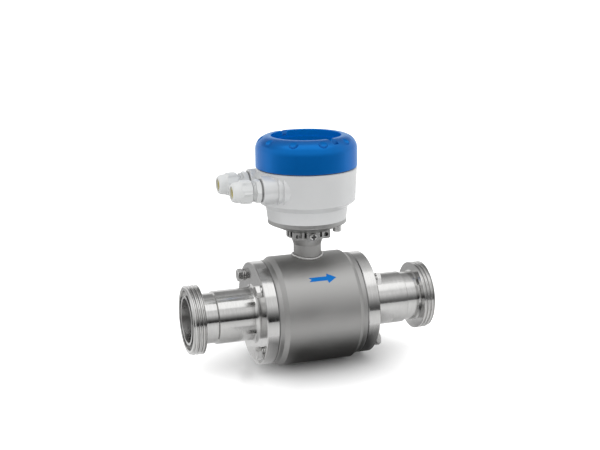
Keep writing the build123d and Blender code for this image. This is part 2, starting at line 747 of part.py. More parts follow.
def make_gland_body(y):
    """Gland body: thread into the boss, hexagon, and the neck that carries the dome nut."""
    thread_end_x = boss_face_x + GLAND_THREAD_L
    hexagon = Pos(gland_hex_x, y, gland_z) * Rot(0, -90, 0) * hexagon_bar(GLAND_HEX_AF, GLAND_HEX_T, GLAND_HEX_BEVEL)
    body = hexagon + rod_x(GLAND_THREAD_R, gland_hex_x, thread_end_x, y, gland_z)
    body += rod_x(GLAND_NECK_R, gland_end_x, gland_neck_x, y, gland_z)
    return body - rod_x(GLAND_BORE_R, gland_end_x - CUT_OVER, thread_end_x + CUT_OVER, y, gland_z)


def nut_foot_x(backoff):
    return gland_neck_x - backoff


def nut_tip_x(backoff):
    return nut_foot_x(backoff) - GLAND_NUT_HEX_L - GLAND_DOME_L


def make_gland_nut(y, backoff):
    """Dome nut: hexagon and rounded dome, hollow for the neck and the seal, with a round mouth."""
    foot = Pos(nut_foot_x(backoff), y, gland_z) * Rot(0, -90, 0)
    total = GLAND_NUT_HEX_L + GLAND_DOME_L
    dome = turned_z(outline((0, 0), (GLAND_DOME_R, 0), (GLAND_DOME_R, total, GLAND_DOME_ROUND), (0, total)))
    nut = dome + hexagon_bar(GLAND_HEX_AF, GLAND_NUT_HEX_L, GLAND_HEX_BEVEL)
    neck_r = GLAND_NECK_R + GLAND_FIT
    neck_depth = GLAND_NECK_L + SEAL_GAP
    seal_top = total - GLAND_MOUTH_T
    hollow = outline(
        (0, -CUT_OVER), (neck_r, -CUT_OVER), (neck_r, neck_depth), (SEAL_R + SEAL_GAP, neck_depth),
        (SEAL_R + SEAL_GAP, seal_top), (GLAND_MOUTH_R, seal_top), (GLAND_MOUTH_R, total + CUT_OVER), (0, total + CUT_OVER))
    return foot * (nut - turned_z(hollow))


def make_gland_seal(y, backoff):
    """Ring seal that the dome nut squeezes on to the cable."""
    outer_x = nut_tip_x(backoff) + GLAND_MOUTH_T
    section = outline((outer_x, SEAL_BORE_R, SEAL_ROUND), (outer_x, SEAL_R), (outer_x + SEAL_L, SEAL_R),
                      (outer_x + SEAL_L, SEAL_BORE_R))
    return Pos(0, y, gland_z) * turned_x(section)


# Cover and window

def make_cover():
    """Screwed cover: rounded shoulder, stepped well, finger dimples and two tool notches."""
    thread_r = spigot_r + COVER_THREAD_GAP
    wall_r = well_r + COVER_T
    roof_z = cover_top_z - COVER_ROOF_T
    step_r = well_r - WELL_STEP_W
    skirt_r = window_r + WINDOW_FIT
    below_z = cover_bottom_z - CUT_OVER
    above_z = well_floor_z + CUT_OVER
    outer = turned_z(outline(
        (0, cover_bottom_z), (cover_r - COVER_FOOT_BEVEL, cover_bottom_z), (cover_r, cover_bottom_z + COVER_FOOT_BEVEL),
        (cover_r, cover_top_z, SHOULDER_R), (well_r, cover_top_z, RIM_ROUND), (well_r, well_step_z),
        (step_r, well_step_z), (step_r, well_floor_z), (0, well_floor_z)))
    inside = turned_z(outline(
        (skirt_r + SKIRT_T, below_z), (thread_r, below_z), (thread_r, roof_z, COVER_INNER_ROUND),
        (wall_r, roof_z), (wall_r, well_floor_z), (skirt_r + SKIRT_T, ledge_bottom_z)))
    below = turned_z(outline(
        (0, below_z), (skirt_r + SKIRT_T, below_z), (skirt_r + SKIRT_T, skirt_bottom_z), (skirt_r, skirt_bottom_z),
        (skirt_r, ledge_bottom_z), (window_view_r, ledge_bottom_z), (window_view_r, above_z), (0, above_z)))
    return cut_grips(outer - inside - below)


def cut_grips(cover):
    """Finger dimples round the shoulder and the two tool notches across the rim."""
    reach = SHOULDER_R - DIMPLE_DEPTH + DIMPLE_R
    out, up = on_circle(reach, DIMPLE_SLOPE)
    ball = Pos(cover_r - SHOULDER_R + out, 0, cover_side_top_z + up) * Sphere(DIMPLE_R)
    for i in range(DIMPLE_COUNT):
        cover -= Rot(0, 0, DIMPLE_PHASE + 360 / DIMPLE_COUNT * i) * ball
    notch_from = well_r - WELL_STEP_W - CUT_OVER
    notch_to = cover_r - NOTCH_INSET
    slot = outline(
        (-NOTCH_W / 2, cover_top_z + CUT_OVER), (-NOTCH_W / 2, cover_top_z), (-NOTCH_FLOOR_W / 2, cover_top_z - NOTCH_D),
        (NOTCH_FLOOR_W / 2, cover_top_z - NOTCH_D), (NOTCH_W / 2, cover_top_z), (NOTCH_W / 2, cover_top_z + CUT_OVER))
    notch = extrude(Plane.YZ.offset(notch_from) * slot, notch_to - notch_from)
    for turn in (0, 180):
        cover -= Rot(0, 0, NOTCH_ANGLE + turn) * notch
    return cover


def make_cover_seal():
    """Flat seal in the seam between housing and cover."""
    foot_z = body_top_z + (COVER_SEAM - COVER_SEAL_T) / 2
    return ring_z(spigot_r + COVER_THREAD_GAP, cover_r - COVER_SEAL_INSET, foot_z, foot_z + COVER_SEAL_T)


def make_window():
    """Round window, put in from below."""
    return rod_z(window_r, window_bottom_z, window_top_z)


def make_window_seal():
    """Flat ring seal between window and ledge."""
    return ring_z(window_view_r, window_r, window_top_z, ledge_bottom_z)


def make_window_retainer():
    """Ring that holds the window up in the skirt of the cover."""
    return ring_z(window_view_r, window_r, skirt_bottom_z, window_bottom_z)


# Electronics

def d_plate(radius, flat_x, z_from, z_to):
    """Round plate cut flat on the gland side."""
    plate = rod_z(radius, z_from, z_to)
    return plate & Pos(flat_x + radius, 0, (z_from + z_to) / 2) * Box(2 * radius, 2 * radius, z_to - z_from)


def make_carrier():
    """Moulded carrier: hood with a flat side, foot on the housing ledge, posts down to the main board."""
    hood = d_plate(carrier_r, carrier_flat_x, ledge_z, carrier_top_z)
    hood = fillet(hood.edges().group_by(Axis.Z)[-1], CARRIER_ROUND)
    foot = rod_z(body_in_r - CARRIER_FOOT_GAP, ledge_z, ledge_z + CARRIER_T)
    inside = d_plate(carrier_r - CARRIER_T, carrier_flat_x + CARRIER_T, ledge_z - CUT_OVER, carrier_top_z - CARRIER_T)
    carrier = hood + foot - inside
    for angle in POST_ANGLES:
        x, y = on_circle(carrier_r - POST_INSET, angle)
        carrier += rod_z(POST_R, main_board_z + BOARD_T, carrier_top_z - CARRIER_T / 2, x, y)
    return carrier


def make_main_board():
    """Main circuit board, hung from the carrier's posts."""
    inset = CARRIER_T + BOARD_GAP
    return d_plate(carrier_r - inset, carrier_flat_x + inset, main_board_z, main_board_z + BOARD_T)


def make_power_module():
    """Potted power module on the main board."""
    block = Pos(MODULE_X, 0, main_board_z + BOARD_T + MODULE_H / 2) * Box(MODULE_W, MODULE_D, MODULE_H)
    return fillet(block.edges().filter_by(Axis.Z), MODULE_ROUND)


def key_places():
    return [(KEY_PITCH * (i - (KEY_COUNT - 1) / 2), KEY_Y) for i in range(KEY_COUNT)]


def make_display_board():
    """Display board with a raised frame for each key."""
    frame_top_z = display_board_top_z + KEY_FRAME_H
    board = rod_z(window_r - DISPLAY_BOARD_INSET, carrier_top_z, display_board_top_z)
    for x, y in key_places():
        frame = rod_z(KEY_FRAME_R, display_board_top_z, frame_top_z, x, y)
        board += frame - rod_z(KEY_R + KEY_GAP, display_board_top_z, frame_top_z, x, y)
    return board


def make_display():
    """Display module."""
    block = Pos(0, DISPLAY_Y, display_board_top_z + DISPLAY_H / 2) * Box(DISPLAY_W, DISPLAY_D, DISPLAY_H)
    return fillet(block.edges().filter_by(Axis.Z), DISPLAY_ROUND)


def make_key(x, y):
    """Short-stroke key cap, held up off the board by its dome."""
    foot_z = display_board_top_z + KEY_LIFT
    return Pos(x, y, foot_z) * turned_z(outline((0, 0), (KEY_R, 0), (KEY_R, KEY_H, KEY_ROUND), (0, KEY_H)))


def make_terminal_block():
    """Terminal block in the space that the glands open into."""
    half = TERMINAL_D / 2
    section = outline((-half, 0), (half, 0), (half, TERMINAL_H), (-half + TERMINAL_BEVEL, TERMINAL_H),
                      (-half, TERMINAL_H - TERMINAL_BEVEL))
    block = extrude(Plane.XZ * section, TERMINAL_W / 2, both=True)
    for i in range(TERMINAL_WAYS):
        y = TERMINAL_PITCH * (i - (TERMINAL_WAYS - 1) / 2)
        block -= rod_z(TERMINAL_WAY_R, TERMINAL_H - TERMINAL_WAY_DEPTH, TERMINAL_H + CUT_OVER, 0, y)
    return Pos(terminal_x, 0, ledge_z + CARRIER_T) * block


def make_leads():
    """Coil and electrode leads, up the neck to the main board."""
    leads = []
    for i in range(LEAD_COUNT):
        across, y = on_circle(LEAD_CIRCLE_R, 360 / LEAD_COUNT * i)
        leads.append(rod_z(LEAD_R, yoke_r + LEAD_START_GAP, main_board_z, LEAD_X + across, y))
    return Compound(children=leads)


# Every piece, one file each

def main():
    for name, make in (("adapter", make_adapter), ("coupling", make_coupling), ("gasket", make_gasket),
                       ("end_ring", make_end_ring), ("bolts", make_bolts), ("washers", make_washers)):
        outlet = make()
        save("outlet_" + name, outlet)
        save("inlet_" + name, mirrored(outlet))
    save("measuring_tube", make_measuring_tube())
    save("tube_liner", make_liner())
    for name, side in (("front", -1), ("back", 1)):
        save(f"electrode_{name}", make_electrode(side))
        save(f"electrode_bush_{name}", make_electrode_bush(side))
    save("electrode_nuts", make_electrode_nuts())
    for name, side in (("top", 1), ("bottom", -1)):
        save(f"field_coil_{name}", make_coil(side))
        save(f"coil_core_{name}", make_coil_core(side))
    save("magnet_yoke", make_yoke())
    save("sensor_shell", make_shell())
    save("neck_tube", make_neck_tube())
    save("neck_flare", make_neck_flare())
    save("stop_collar", make_stop_collar())
    save("clamp_screw", make_clamp_screw())
    save("base_plate", make_base_plate())
    save("base_screws", make_base_screws())
    save("converter_housing", make_housing())
    for name, y, backoff in glands():
        save(f"gland_washer_{name}", make_gland_washer(y))
        save(f"gland_body_{name}", make_gland_body(y))
        save(f"gland_seal_{name}", make_gland_seal(y, backoff))
        save(f"gland_nut_{name}", make_gland_nut(y, backoff))
    save("cover", make_cover())
    save("cover_seal", make_cover_seal())
    save("window", make_window())
    save("window_seal", make_window_seal())
    save("window_retainer", make_window_retainer())
    save("electronics_carrier", make_carrier())
    save("main_board", make_main_board())
    save("power_module", make_power_module())
    save("display_board", make_display_board())
    save("display", make_display())
    for i, (x, y) in enumerate(key_places()):
        save(f"key_{i + 1}", make_key(x, y))
    save("terminal_block", make_terminal_block())
    save("lead_bundle", make_leads())


main()
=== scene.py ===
# %% [markdown]
# # Dressing an electromagnetic flow meter
# The construction of the meter comes ready made as a fixed frame: every solid in its true place, in metres,
# with the flow along X and the converter above it on Z. This lesson gives it the looks of the real thing.
# It sets up the camera and the studio first, then the finishes, then the pieces whose form a plain solid
# doesn't show well: threads, welds, bolts, cable glands and the flow arrow.

# %% Load the frame
import json
import math

import bmesh
import bpy
from mathutils import Matrix, Vector


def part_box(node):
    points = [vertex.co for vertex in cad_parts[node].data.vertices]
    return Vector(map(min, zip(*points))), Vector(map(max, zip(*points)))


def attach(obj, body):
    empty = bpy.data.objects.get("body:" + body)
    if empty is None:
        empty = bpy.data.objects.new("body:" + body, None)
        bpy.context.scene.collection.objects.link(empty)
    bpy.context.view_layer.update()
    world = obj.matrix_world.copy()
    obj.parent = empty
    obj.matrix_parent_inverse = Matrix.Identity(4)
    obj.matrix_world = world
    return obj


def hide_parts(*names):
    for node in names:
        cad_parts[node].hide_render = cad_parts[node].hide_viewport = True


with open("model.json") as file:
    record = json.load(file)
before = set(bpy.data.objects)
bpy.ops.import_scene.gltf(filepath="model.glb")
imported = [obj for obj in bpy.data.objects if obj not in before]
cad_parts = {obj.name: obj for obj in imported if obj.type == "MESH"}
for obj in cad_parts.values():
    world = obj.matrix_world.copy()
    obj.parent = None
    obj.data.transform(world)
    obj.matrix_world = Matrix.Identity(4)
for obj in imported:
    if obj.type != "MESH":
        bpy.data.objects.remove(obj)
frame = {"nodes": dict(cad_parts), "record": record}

for leftover in ("Cube", "Light", "Camera"):
    if leftover in bpy.data.objects:
        bpy.data.objects.remove(bpy.data.objects[leftover])
nodes = frame["nodes"]
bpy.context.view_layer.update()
scene = bpy.context.scene
MM = 0.001
MICRON = 0.000001


def new_object(name, data):
    """Object with its data, placed in the scene."""
    thing = bpy.data.objects.new(name, data)
    scene.collection.objects.link(thing)
    return thing


def new_mesh(name, points, faces):
    """Object with a mesh of the given points and faces."""
    mesh = bpy.data.meshes.new(name)
    mesh.from_pydata(points, [], faces)
    return new_object(name, mesh)


def turns(steps):
    """Angles of equal steps once round."""
    return [math.tau * i / steps for i in range(steps)]


# %% [markdown]
# ## The camera
# A product photograph of this kind is taken from some distance with a longish lens, so that the pipe ends
# don't look bigger than the middle. The numbers below came from fitting circles of known size, and the
# camera is built from its three directions: right, up, and backwards out of the picture.

# %% Camera
CAMERA_PLACE = Vector((-411.2, -1201.1, 405.6)) * MM
CAMERA_YAW = math.radians(-18.54)
CAMERA_PITCH = math.radians(13.67)
CAMERA_ROLL = math.radians(-0.76)
CAMERA_LENS = 69.27
SENSOR_WIDTH = 36
VIEW_END = 100


def camera_axes():
    """Right, up and backward directions of the camera."""
    back = Vector((math.sin(CAMERA_YAW) * math.cos(CAMERA_PITCH),
                   -math.cos(CAMERA_YAW) * math.cos(CAMERA_PITCH),
                   math.sin(CAMERA_PITCH)))
    level = Vector((math.cos(CAMERA_YAW), math.sin(CAMERA_YAW), 0))
    upright = back.cross(level)
    right = level * math.cos(CAMERA_ROLL) + upright * math.sin(CAMERA_ROLL)
    up = upright * math.cos(CAMERA_ROLL) - level * math.sin(CAMERA_ROLL)
    return right, up, back


camera_data = bpy.data.cameras.new("camera")
camera_data.lens = CAMERA_LENS
camera_data.sensor_width = SENSOR_WIDTH
camera_data.clip_end = VIEW_END
camera = new_object("camera", camera_data)
camera.matrix_world = Matrix.Translation(CAMERA_PLACE) @ Matrix(camera_axes()).transposed().to_4x4()
scene.camera = camera
scene.view_settings.view_transform = "Standard"
print("camera", [round(c, 3) for c in CAMERA_PLACE])

# %% [markdown]
# ## Helpers for nodes
# Materials, and later the geometry trees, are built from nodes. Short helpers keep that readable: they feed
# a value or a link to one socket or to several, and add a node with its settings and inputs in one call. A
# formula wraps a socket, so that sums can be written as sums.


# %% Node helpers
def feed(tree, socket, value):
    """Links a socket or a formula to an input, or sets it to a plain value."""
    if isinstance(value, Formula):
        value = value.socket
    if isinstance(value, bpy.types.NodeSocket):
        tree.links.new(value, socket)
    else:
        socket.default_value = value


def fill(tree, node, values):
    """Feeds several inputs of a node, given by name or number."""
    for name, value in values.items():
        feed(tree, node.inputs[name], value)


def put(tree, kind, inputs=None, **settings):
    """Adds a node; settings are its own choices, inputs are its sockets by name or number."""
    node = tree.nodes.new(kind)
    for name, value in settings.items():
        setattr(node, name, value)
    fill(tree, node, inputs or {})
    return node


class Formula:
    """A value inside a node tree that can be added and multiplied like an ordinary number."""

    def __init__(self, tree, socket):
        self.tree = tree
        self.socket = socket

    def calculate(self, operation, *others):
        """Outcome of a sum or another rule with this value and the others."""
        inputs = dict(enumerate((self.socket,) + others))
        return Formula(self.tree, put(self.tree, "ShaderNodeMath", inputs, operation=operation).outputs[0])

    def __add__(self, other):
        return self.calculate("ADD", other)

    def __sub__(self, other):
        return self.calculate("SUBTRACT", other)

    def __mul__(self, other):
        return self.calculate("MULTIPLY", other)

    def __truediv__(self, other):
        return self.calculate("DIVIDE", other)

    def eased(self, start, stop):
        """Goes smoothly from 0 at start to 1 at stop."""
        inputs = {"Value": self.socket, "From Min": start, "From Max": stop}
        node = put(self.tree, "ShaderNodeMapRange", inputs, interpolation_type="SMOOTHSTEP")
        return Formula(self.tree, node.outputs["Result"])

    def rest(self):
        """What is missing to 1."""
        return self * -1 + 1


def object_axes(tree):
    """Place of the shaded point along X, Y and Z, in metres."""
    place = put(tree, "ShaderNodeTexCoord").outputs["Object"]
    parts = put(tree, "ShaderNodeSeparateXYZ", {"Vector": place}).outputs
    return [Formula(tree, parts[axis]) for axis in ("X", "Y", "Z")]


def distance(first, second):
    """Distance from an axis, from the two places across it."""
    return (first * first + second * second).calculate("SQRT")


def vector(tree, x=0.0, y=0.0, z=0.0):
    """Three values as one place, turn or size."""
    return put(tree, "ShaderNodeCombineXYZ", {"X": x, "Y": y, "Z": z}).outputs["Vector"]


def blend_colours(tree, factor, first, second):
    """Colour between two others."""
    inputs = {"Factor": factor, "A": first, "B": second}
    return put(tree, "ShaderNodeMix", inputs, data_type="RGBA").outputs["Result"]


# %% [markdown]
# ## Floor, light and reflections
# Bright metal has hardly any colour of its own: it shows the room. The studio is a white tent with one
# broad soft lamp overhead and a pale glossy table, which glows to white away from the meter. A low dark
# card stands round the front of the table and draws the dark lines along the pipes; its ends are paler. A
# grey canopy behind the lamp shades what looks up. What looks down sees a grey mat on the far side of the
# table, and right under the meter a dark sheet of painted shadow that stands in for the meter's shadow.
# Card, canopy, mat and painted shadow show in reflections only, so they take no light away.

# %% Floor
FLOOR_RADIUS = 30.0
FLOOR_GREYS = (0.925, 0.94)
FLOOR_CLOUDS = 6.0
FLOOR_MATT = 0.07
FLOOR_IOR = 1.4
WHITE_FROM = 0.06
WHITE_TO = 0.20
WHITE_GLOW = 0.60
MIRRORED_SHARE = 0.25
WHITE = (1, 1, 1, 1)
floor_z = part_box("sensor_shell")[0].z


def disc(name, radius, z, steps=96):
    """Round flat sheet facing up."""
    rim = [(radius * math.cos(turn), radius * math.sin(turn), z) for turn in turns(steps)]
    return new_mesh(name, rim, [list(range(steps))])


def new_material(name):
    """Empty material with its Principled shader."""
    material = bpy.data.materials.new(name)
    material.use_nodes = True
    tree = material.node_tree
    tree.nodes.clear()
    shader = put(tree, "ShaderNodeBsdfPrincipled")
    put(tree, "ShaderNodeOutputMaterial", {"Surface": shader.outputs["BSDF"]})
    return material, tree, shader


def seen_directly(tree):
    """1 for rays from the camera and for rays in metal and glass, 0 for rays that only carry light."""
    path = put(tree, "ShaderNodeLightPath").outputs
    direct = Formula(tree, path["Is Camera Ray"]).calculate("MAXIMUM", path["Is Glossy Ray"])
    return direct.calculate("MAXIMUM", path["Is Transmission Ray"])


def floor_material():
    """Pale polished table top with a trace of unevenness, which glows to white away from the meter."""
    material, tree, shader = new_material("table_top")
    place = put(tree, "ShaderNodeTexCoord").outputs["Object"]
    away = put(tree, "ShaderNodeVectorMath", {0: place}, operation="LENGTH").outputs["Value"]
    camera_ray = put(tree, "ShaderNodeLightPath").outputs["Is Camera Ray"]
    share = (seen_directly(tree) * MIRRORED_SHARE).calculate("MAXIMUM", camera_ray)
    clouds = put(tree, "ShaderNodeTexNoise", {"Vector": place, "Scale": FLOOR_CLOUDS, "Detail": 3.0})
    darker, paler = [(grey, grey, grey, 1) for grey in FLOOR_GREYS]
    colour = blend_colours(tree, clouds.outputs["Fac"], darker, paler)
    fill(tree, shader, {
        "Base Color": colour, "Roughness": FLOOR_MATT, "IOR": FLOOR_IOR,
        "Emission Color": WHITE,
        "Emission Strength": Formula(tree, away).eased(WHITE_FROM, WHITE_TO) * WHITE_GLOW * share})
    return material


floor = disc("floor", FLOOR_RADIUS, floor_z)
floor.data.materials.append(floor_material())
print("floor at", round(floor_z, 4))

# %% World and lamp
TENT_BRIGHTNESS = 0.98
LAMP_PLACE = Vector((-0.10, -0.42, 1.25))
LAMP_LENGTH = 1.9
LAMP_DEPTH = 0.92
LAMP_WATTS = 3.4


def set_world():
    """Tent that lights the meter evenly, and looks plain white where it is seen or mirrored."""
    world = bpy.data.worlds.new("tent")
    world.use_nodes = True
    tree = world.node_tree
    tree.nodes.clear()
    strength = seen_directly(tree) * (1 - TENT_BRIGHTNESS) + TENT_BRIGHTNESS
    sky = put(tree, "ShaderNodeBackground", {"Color": WHITE, "Strength": strength})
    put(tree, "ShaderNodeOutputWorld", {"Surface": sky.outputs["Background"]})
    scene.world = world


def add_lamp():
    """One broad soft lamp, level, a little in front of the meter."""
    lamp_data = bpy.data.lights.new("overhead_lamp", "AREA")
    lamp_data.shape = "RECTANGLE"
    lamp_data.size = LAMP_LENGTH
    lamp_data.size_y = LAMP_DEPTH
    lamp_data.energy = LAMP_WATTS
    lamp = new_object("overhead_lamp", lamp_data)
    lamp.location = LAMP_PLACE
    lamp.rotation_euler = (0, 0, CAMERA_YAW)


set_world()
add_lamp()

# %% Cards, canopy, mat and painted shadow
CARD_DISTANCE = 0.62
CARD_TOP = 0.34
CARD_LIFT = 0.001
CARD_MIDDLE = math.radians(-14)
CARD_HALF_SWEEP = math.radians(88)
CARD_SHADES = (
    (0.0, 0.02), (0.20, 0.04), (0.355, 0.17), (0.51, 0.36), (0.67, 0.60), (0.85, 0.82), (1.0, 0.98))
CARD_END_SHADES = ((0.0, 0.0), (0.25, 0.0), (0.5, 0.12), (0.75, 0.35), (1.0, 0.9))
CANOPY_HEIGHT = 1.26
CANOPY_FROM = 0.06
CANOPY_TO = 3.2
CANOPY_HALF_LENGTH = 2.2
CANOPY_SHADES = (
    (0.0, 0.85), (0.10, 0.70), (0.18, 0.55), (0.30, 0.38), (0.55, 0.36), (0.75, 0.50), (1.0, 0.72))
# Each sheet: name, middle, half length, half depth, height over the table, shades from its middle to its edge
PAINTED_SHADOW_AND_MAT = (
    # Painted shadow: a dark sheet right under the meter, standing in for its shadow on the table in
    # reflections
    ("under_mat", (0.020, -0.012), 0.094, 0.105, 0.0004, ((0.0, 0.02), (0.5, 0.05), (1.0, 0.85))),
    ("back_mat", (-0.16, 0.40), 0.36, 0.34, 0.0003, ((0.0, 0.50), (0.7, 0.55), (1.0, 1.0))),
)


def ramp(tree, share, shades):
    """Grey that follows a list of (place, brightness) pairs."""
    node = put(tree, "ShaderNodeValToRGB", {"Fac": share})
    stops = node.color_ramp.elements
    while len(stops) < len(shades):
        stops.new(1.0)
    for stop, (place, grey) in zip(stops, shades):
        stop.position = place
        stop.color = (grey, grey, grey, 1)
    return node.outputs["Color"]


def card_material(name, shades, share_of, end_shades=None, end_share_of=None):
    """Matt card that gives off its own shade; share_of says where on the ramp a point of the card lies."""
    material, tree, shader = new_material(name)
    axes = object_axes(tree)
    grey = ramp(tree, share_of(*axes), shades)
    if end_shades:
        paler = ramp(tree, end_share_of(*axes), end_shades)
        grey = Formula(tree, grey) * Formula(tree, paler).rest() + paler
    fill(tree, shader, {"Emission Color": grey, "Emission Strength": 1.0, "Base Color": (0, 0, 0, 1),
                        "Roughness": 1.0, "Specular IOR Level": 0.0})
    return material


def card(name, corners, faces, material):
    """Card seen only in reflections: it takes no light away and stays out of the picture."""
    sheet = new_mesh(name, corners, faces)
    sheet.data.materials.append(material)
    for rays in ("camera", "diffuse", "shadow", "transmission"):
        setattr(sheet, "visible_" + rays, False)


def card_height_share(x, y, z):
    """0 at the foot of the front card and 1 at its top."""
    return (z - floor_z) / (CARD_TOP - floor_z)


def card_end_share(x, y, z):
    """0 in the middle of the front card and 1 at its ends."""
    turn = x.calculate("ARCTAN2", y * -1)
    return (turn - CARD_MIDDLE).calculate("ABSOLUTE") / CARD_HALF_SWEEP


def front_card(steps=90):
    """Low upright card on an arc round the front of the table, paler towards its ends."""
    corners = []
    for i in range(steps + 1):
        turn = CARD_MIDDLE + CARD_HALF_SWEEP * (2 * i / steps - 1)
        across, along = CARD_DISTANCE * math.sin(turn), -CARD_DISTANCE * math.cos(turn)
        corners += [(across, along, floor_z + CARD_LIFT), (across, along, CARD_TOP)]
    faces = [[2 * i, 2 * i + 2, 2 * i + 3, 2 * i + 1] for i in range(steps)]
    material = card_material("front_card", CARD_SHADES, card_height_share, CARD_END_SHADES, card_end_share)
    card("front_card", corners, faces, material)


def level_card(name, middle, half_length, half_depth, z, shades, share_of):
    """Level card with its sides along the flow and across it."""
    corners = [(middle[0] + side * half_length, middle[1] + end * half_depth, z)
               for side, end in ((-1, -1), (1, -1), (1, 1), (-1, 1))]
    card(name, corners, [[0, 1, 2, 3]], card_material(name, shades, share_of))


def canopy_share(x, y, z):
    """0 at the edge over the meter and 1 at the far edge."""
    return (y - CANOPY_FROM) / (CANOPY_TO - CANOPY_FROM)


def sheet_share(middle, half_length, half_depth):
    """Makes a function that gives 0 in the middle of a level sheet and 1 at its edge."""
    def share(x, y, z):
        across = (x - middle[0]).calculate("ABSOLUTE") / half_length
        along = (y - middle[1]).calculate("ABSOLUTE") / half_depth
        return across.calculate("MAXIMUM", along)
    return share


front_card()
canopy_half = (CANOPY_TO - CANOPY_FROM) / 2
level_card("canopy", (0.0, CANOPY_FROM + canopy_half), CANOPY_HALF_LENGTH, canopy_half, CANOPY_HEIGHT,
           CANOPY_SHADES, canopy_share)
for name, middle, half_length, half_depth, lift, shades in PAINTED_SHADOW_AND_MAT:
    share_of = sheet_share(middle, half_length, half_depth)
    level_card(name, middle, half_length, half_depth, floor_z + lift, shades, share_of)

# %% [markdown]
# ## Effects shared by several finishes
# Fine marks are made once, as node groups, and placed in every material that needs them. A lathe leaves
# rings round the flow axis: the noise is read in the place along the axis and the distance from it, so that
# one pattern runs round a pipe and in circles over a flange face. Paint, castings, plastic and blasted steel
# have an even grain, coarse or fine, and every surface has faint clouds that change how matt it is.


# %% Shared effects
MARK_LIMITS = (0.35, 0.7)
CLOUD_LIMITS = (0.3, 0.7)


def new_group(name, inputs, outputs):
    """Shader group with plain number inputs and outputs."""
    group = bpy.data.node_groups.new(name, "ShaderNodeTree")
    for title, value in inputs.items():
        socket = group.interface.new_socket(name=title, in_out="INPUT", socket_type="NodeSocketFloat")
        socket.default_value = value
    for title in outputs:
        group.interface.new_socket(name=title, in_out="OUTPUT", socket_type="NodeSocketFloat")
    return group, put(group, "NodeGroupInput"), put(group, "NodeGroupOutput")


def turned_marks_group():
    """Rings round the flow axis, in marks a metre; Height serves a bump, Shade the colour and matt level."""
    group, given, result = new_group("turned_marks", {"Fineness": 2500.0, "Drift": 3.0}, ("Height", "Shade"))
    along, side, up = object_axes(group)
    reach = distance(side, up)
    fine = given.outputs["Fineness"]
    drift = given.outputs["Drift"]
    place = vector(group, along * fine, reach * fine, side / reach * drift)
    noise = put(group, "ShaderNodeTexNoise", {
        "Vector": place, "W": up / reach * drift, "Scale": 1.0, "Detail": 3.0, "Roughness": 0.6},
        noise_dimensions="4D").outputs["Fac"]
    fill(group, result, {"Height": noise, "Shade": Formula(group, noise).eased(*MARK_LIMITS)})
    return group


def noise_group(name, detail, title, limits=None):
    """Plain noise over the surface; with limits it is eased to go from 0 to 1 between them."""
    group, given, result = new_group(name, {"Fineness": 1000.0}, (title,))
    place = put(group, "ShaderNodeTexCoord").outputs["Object"]
    inputs = {"Vector": place, "Scale": given.outputs["Fineness"], "Detail": detail}
    value = Formula(group, put(group, "ShaderNodeTexNoise", inputs).outputs["Fac"])
    feed(group, result.inputs[title], value.eased(*limits) if limits else value)
    return group


TURNED = turned_marks_group()
CLOUDS = noise_group("handling_clouds", 4.0, "Cloud", CLOUD_LIMITS)
GRAIN = noise_group("surface_grain", 2.0, "Height")
print("effects", [group.name for group in (TURNED, CLOUDS, GRAIN)])

# %% [markdown]
# ## One function for most finishes
# A finish here is a colour, a matt level that wanders a little, and a relief, so that the recipe of each
# material is one line. Turned steel gets more: its marks stretch reflections across themselves, and in the
# bore, which is only ground, it is more matt.

# %% Finish maker
BORE_EDGE = 0.0254
BORE_FADE = 0.0004
BORE_MATT = 0.13
WELL_MARGIN = 0.0033
WELL_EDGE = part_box("window")[1].x + WELL_MARGIN
WELL_FADE = 0.0006
TURNED_STRETCH = 0.75
QUARTER_TURN = 0.25


def use_group(tree, group, fineness):
    """Outputs of a group placed in a tree."""
    return put(tree, "ShaderNodeGroup", {"Fineness": fineness}, node_tree=group).outputs


def inside(first, second, edge, fade):
    """1 nearer to an axis than the edge and 0 outside it; first and second are the places across the axis."""
    return distance(first, second).eased(edge + fade, edge)


def shaded(colour, amount):
    """The same colour, darker or lighter by a share."""
    return tuple(min(1.0, part * (1 + amount)) for part in colour) + (1.0,)


def finish(name, colour, matt, spread, metal, fineness, relief, tint, cloud=30, marks=GRAIN, gloss=0.5,
           sheen=(1, 1, 1), well_painted_light=None):
    """Material with clouded colour and matt level, and a fine relief in thousandths of a millimetre."""
    material, tree, shader = new_material(name)
    tone = Formula(tree, use_group(tree, CLOUDS, cloud)["Cloud"])
    pattern = use_group(tree, marks, fineness)
    level = tone * spread + (matt - spread / 2)
    if marks is TURNED:
        tone = (tone + pattern["Shade"]) * 0.5
        _, across, up = object_axes(tree)
        in_bore = inside(across, up, BORE_EDGE, BORE_FADE)
        level = level + Formula(tree, pattern["Shade"]) * spread + in_bore * BORE_MATT
        round_flow = put(tree, "ShaderNodeTangent", direction_type="RADIAL", axis="X").outputs["Tangent"]
        fill(tree, shader, {
            "Tangent": round_flow, "Anisotropic": TURNED_STRETCH, "Anisotropic Rotation": QUARTER_TURN})
    clouded = blend_colours(tree, tone, shaded(colour, -tint), shaded(colour, tint))
    # Painted light: the walls of the cover's well get a lighter colour, which brightens the deep well.
    if well_painted_light:
        along, across, _ = object_axes(tree)
        painted_light_in_well = inside(along, across, WELL_EDGE, WELL_FADE)
        clouded = blend_colours(tree, painted_light_in_well, clouded, (*well_painted_light, 1))
    bump = put(tree, "ShaderNodeBump", {
        "Height": pattern["Height"], "Distance": relief * MICRON, "Strength": 1.0})
    fill(tree, shader, {
        "Base Color": clouded, "Roughness": level, "Normal": bump.outputs["Normal"], "Metallic": metal,
        "Specular IOR Level": gloss, "Specular Tint": (*sheen, 1)})
    return material
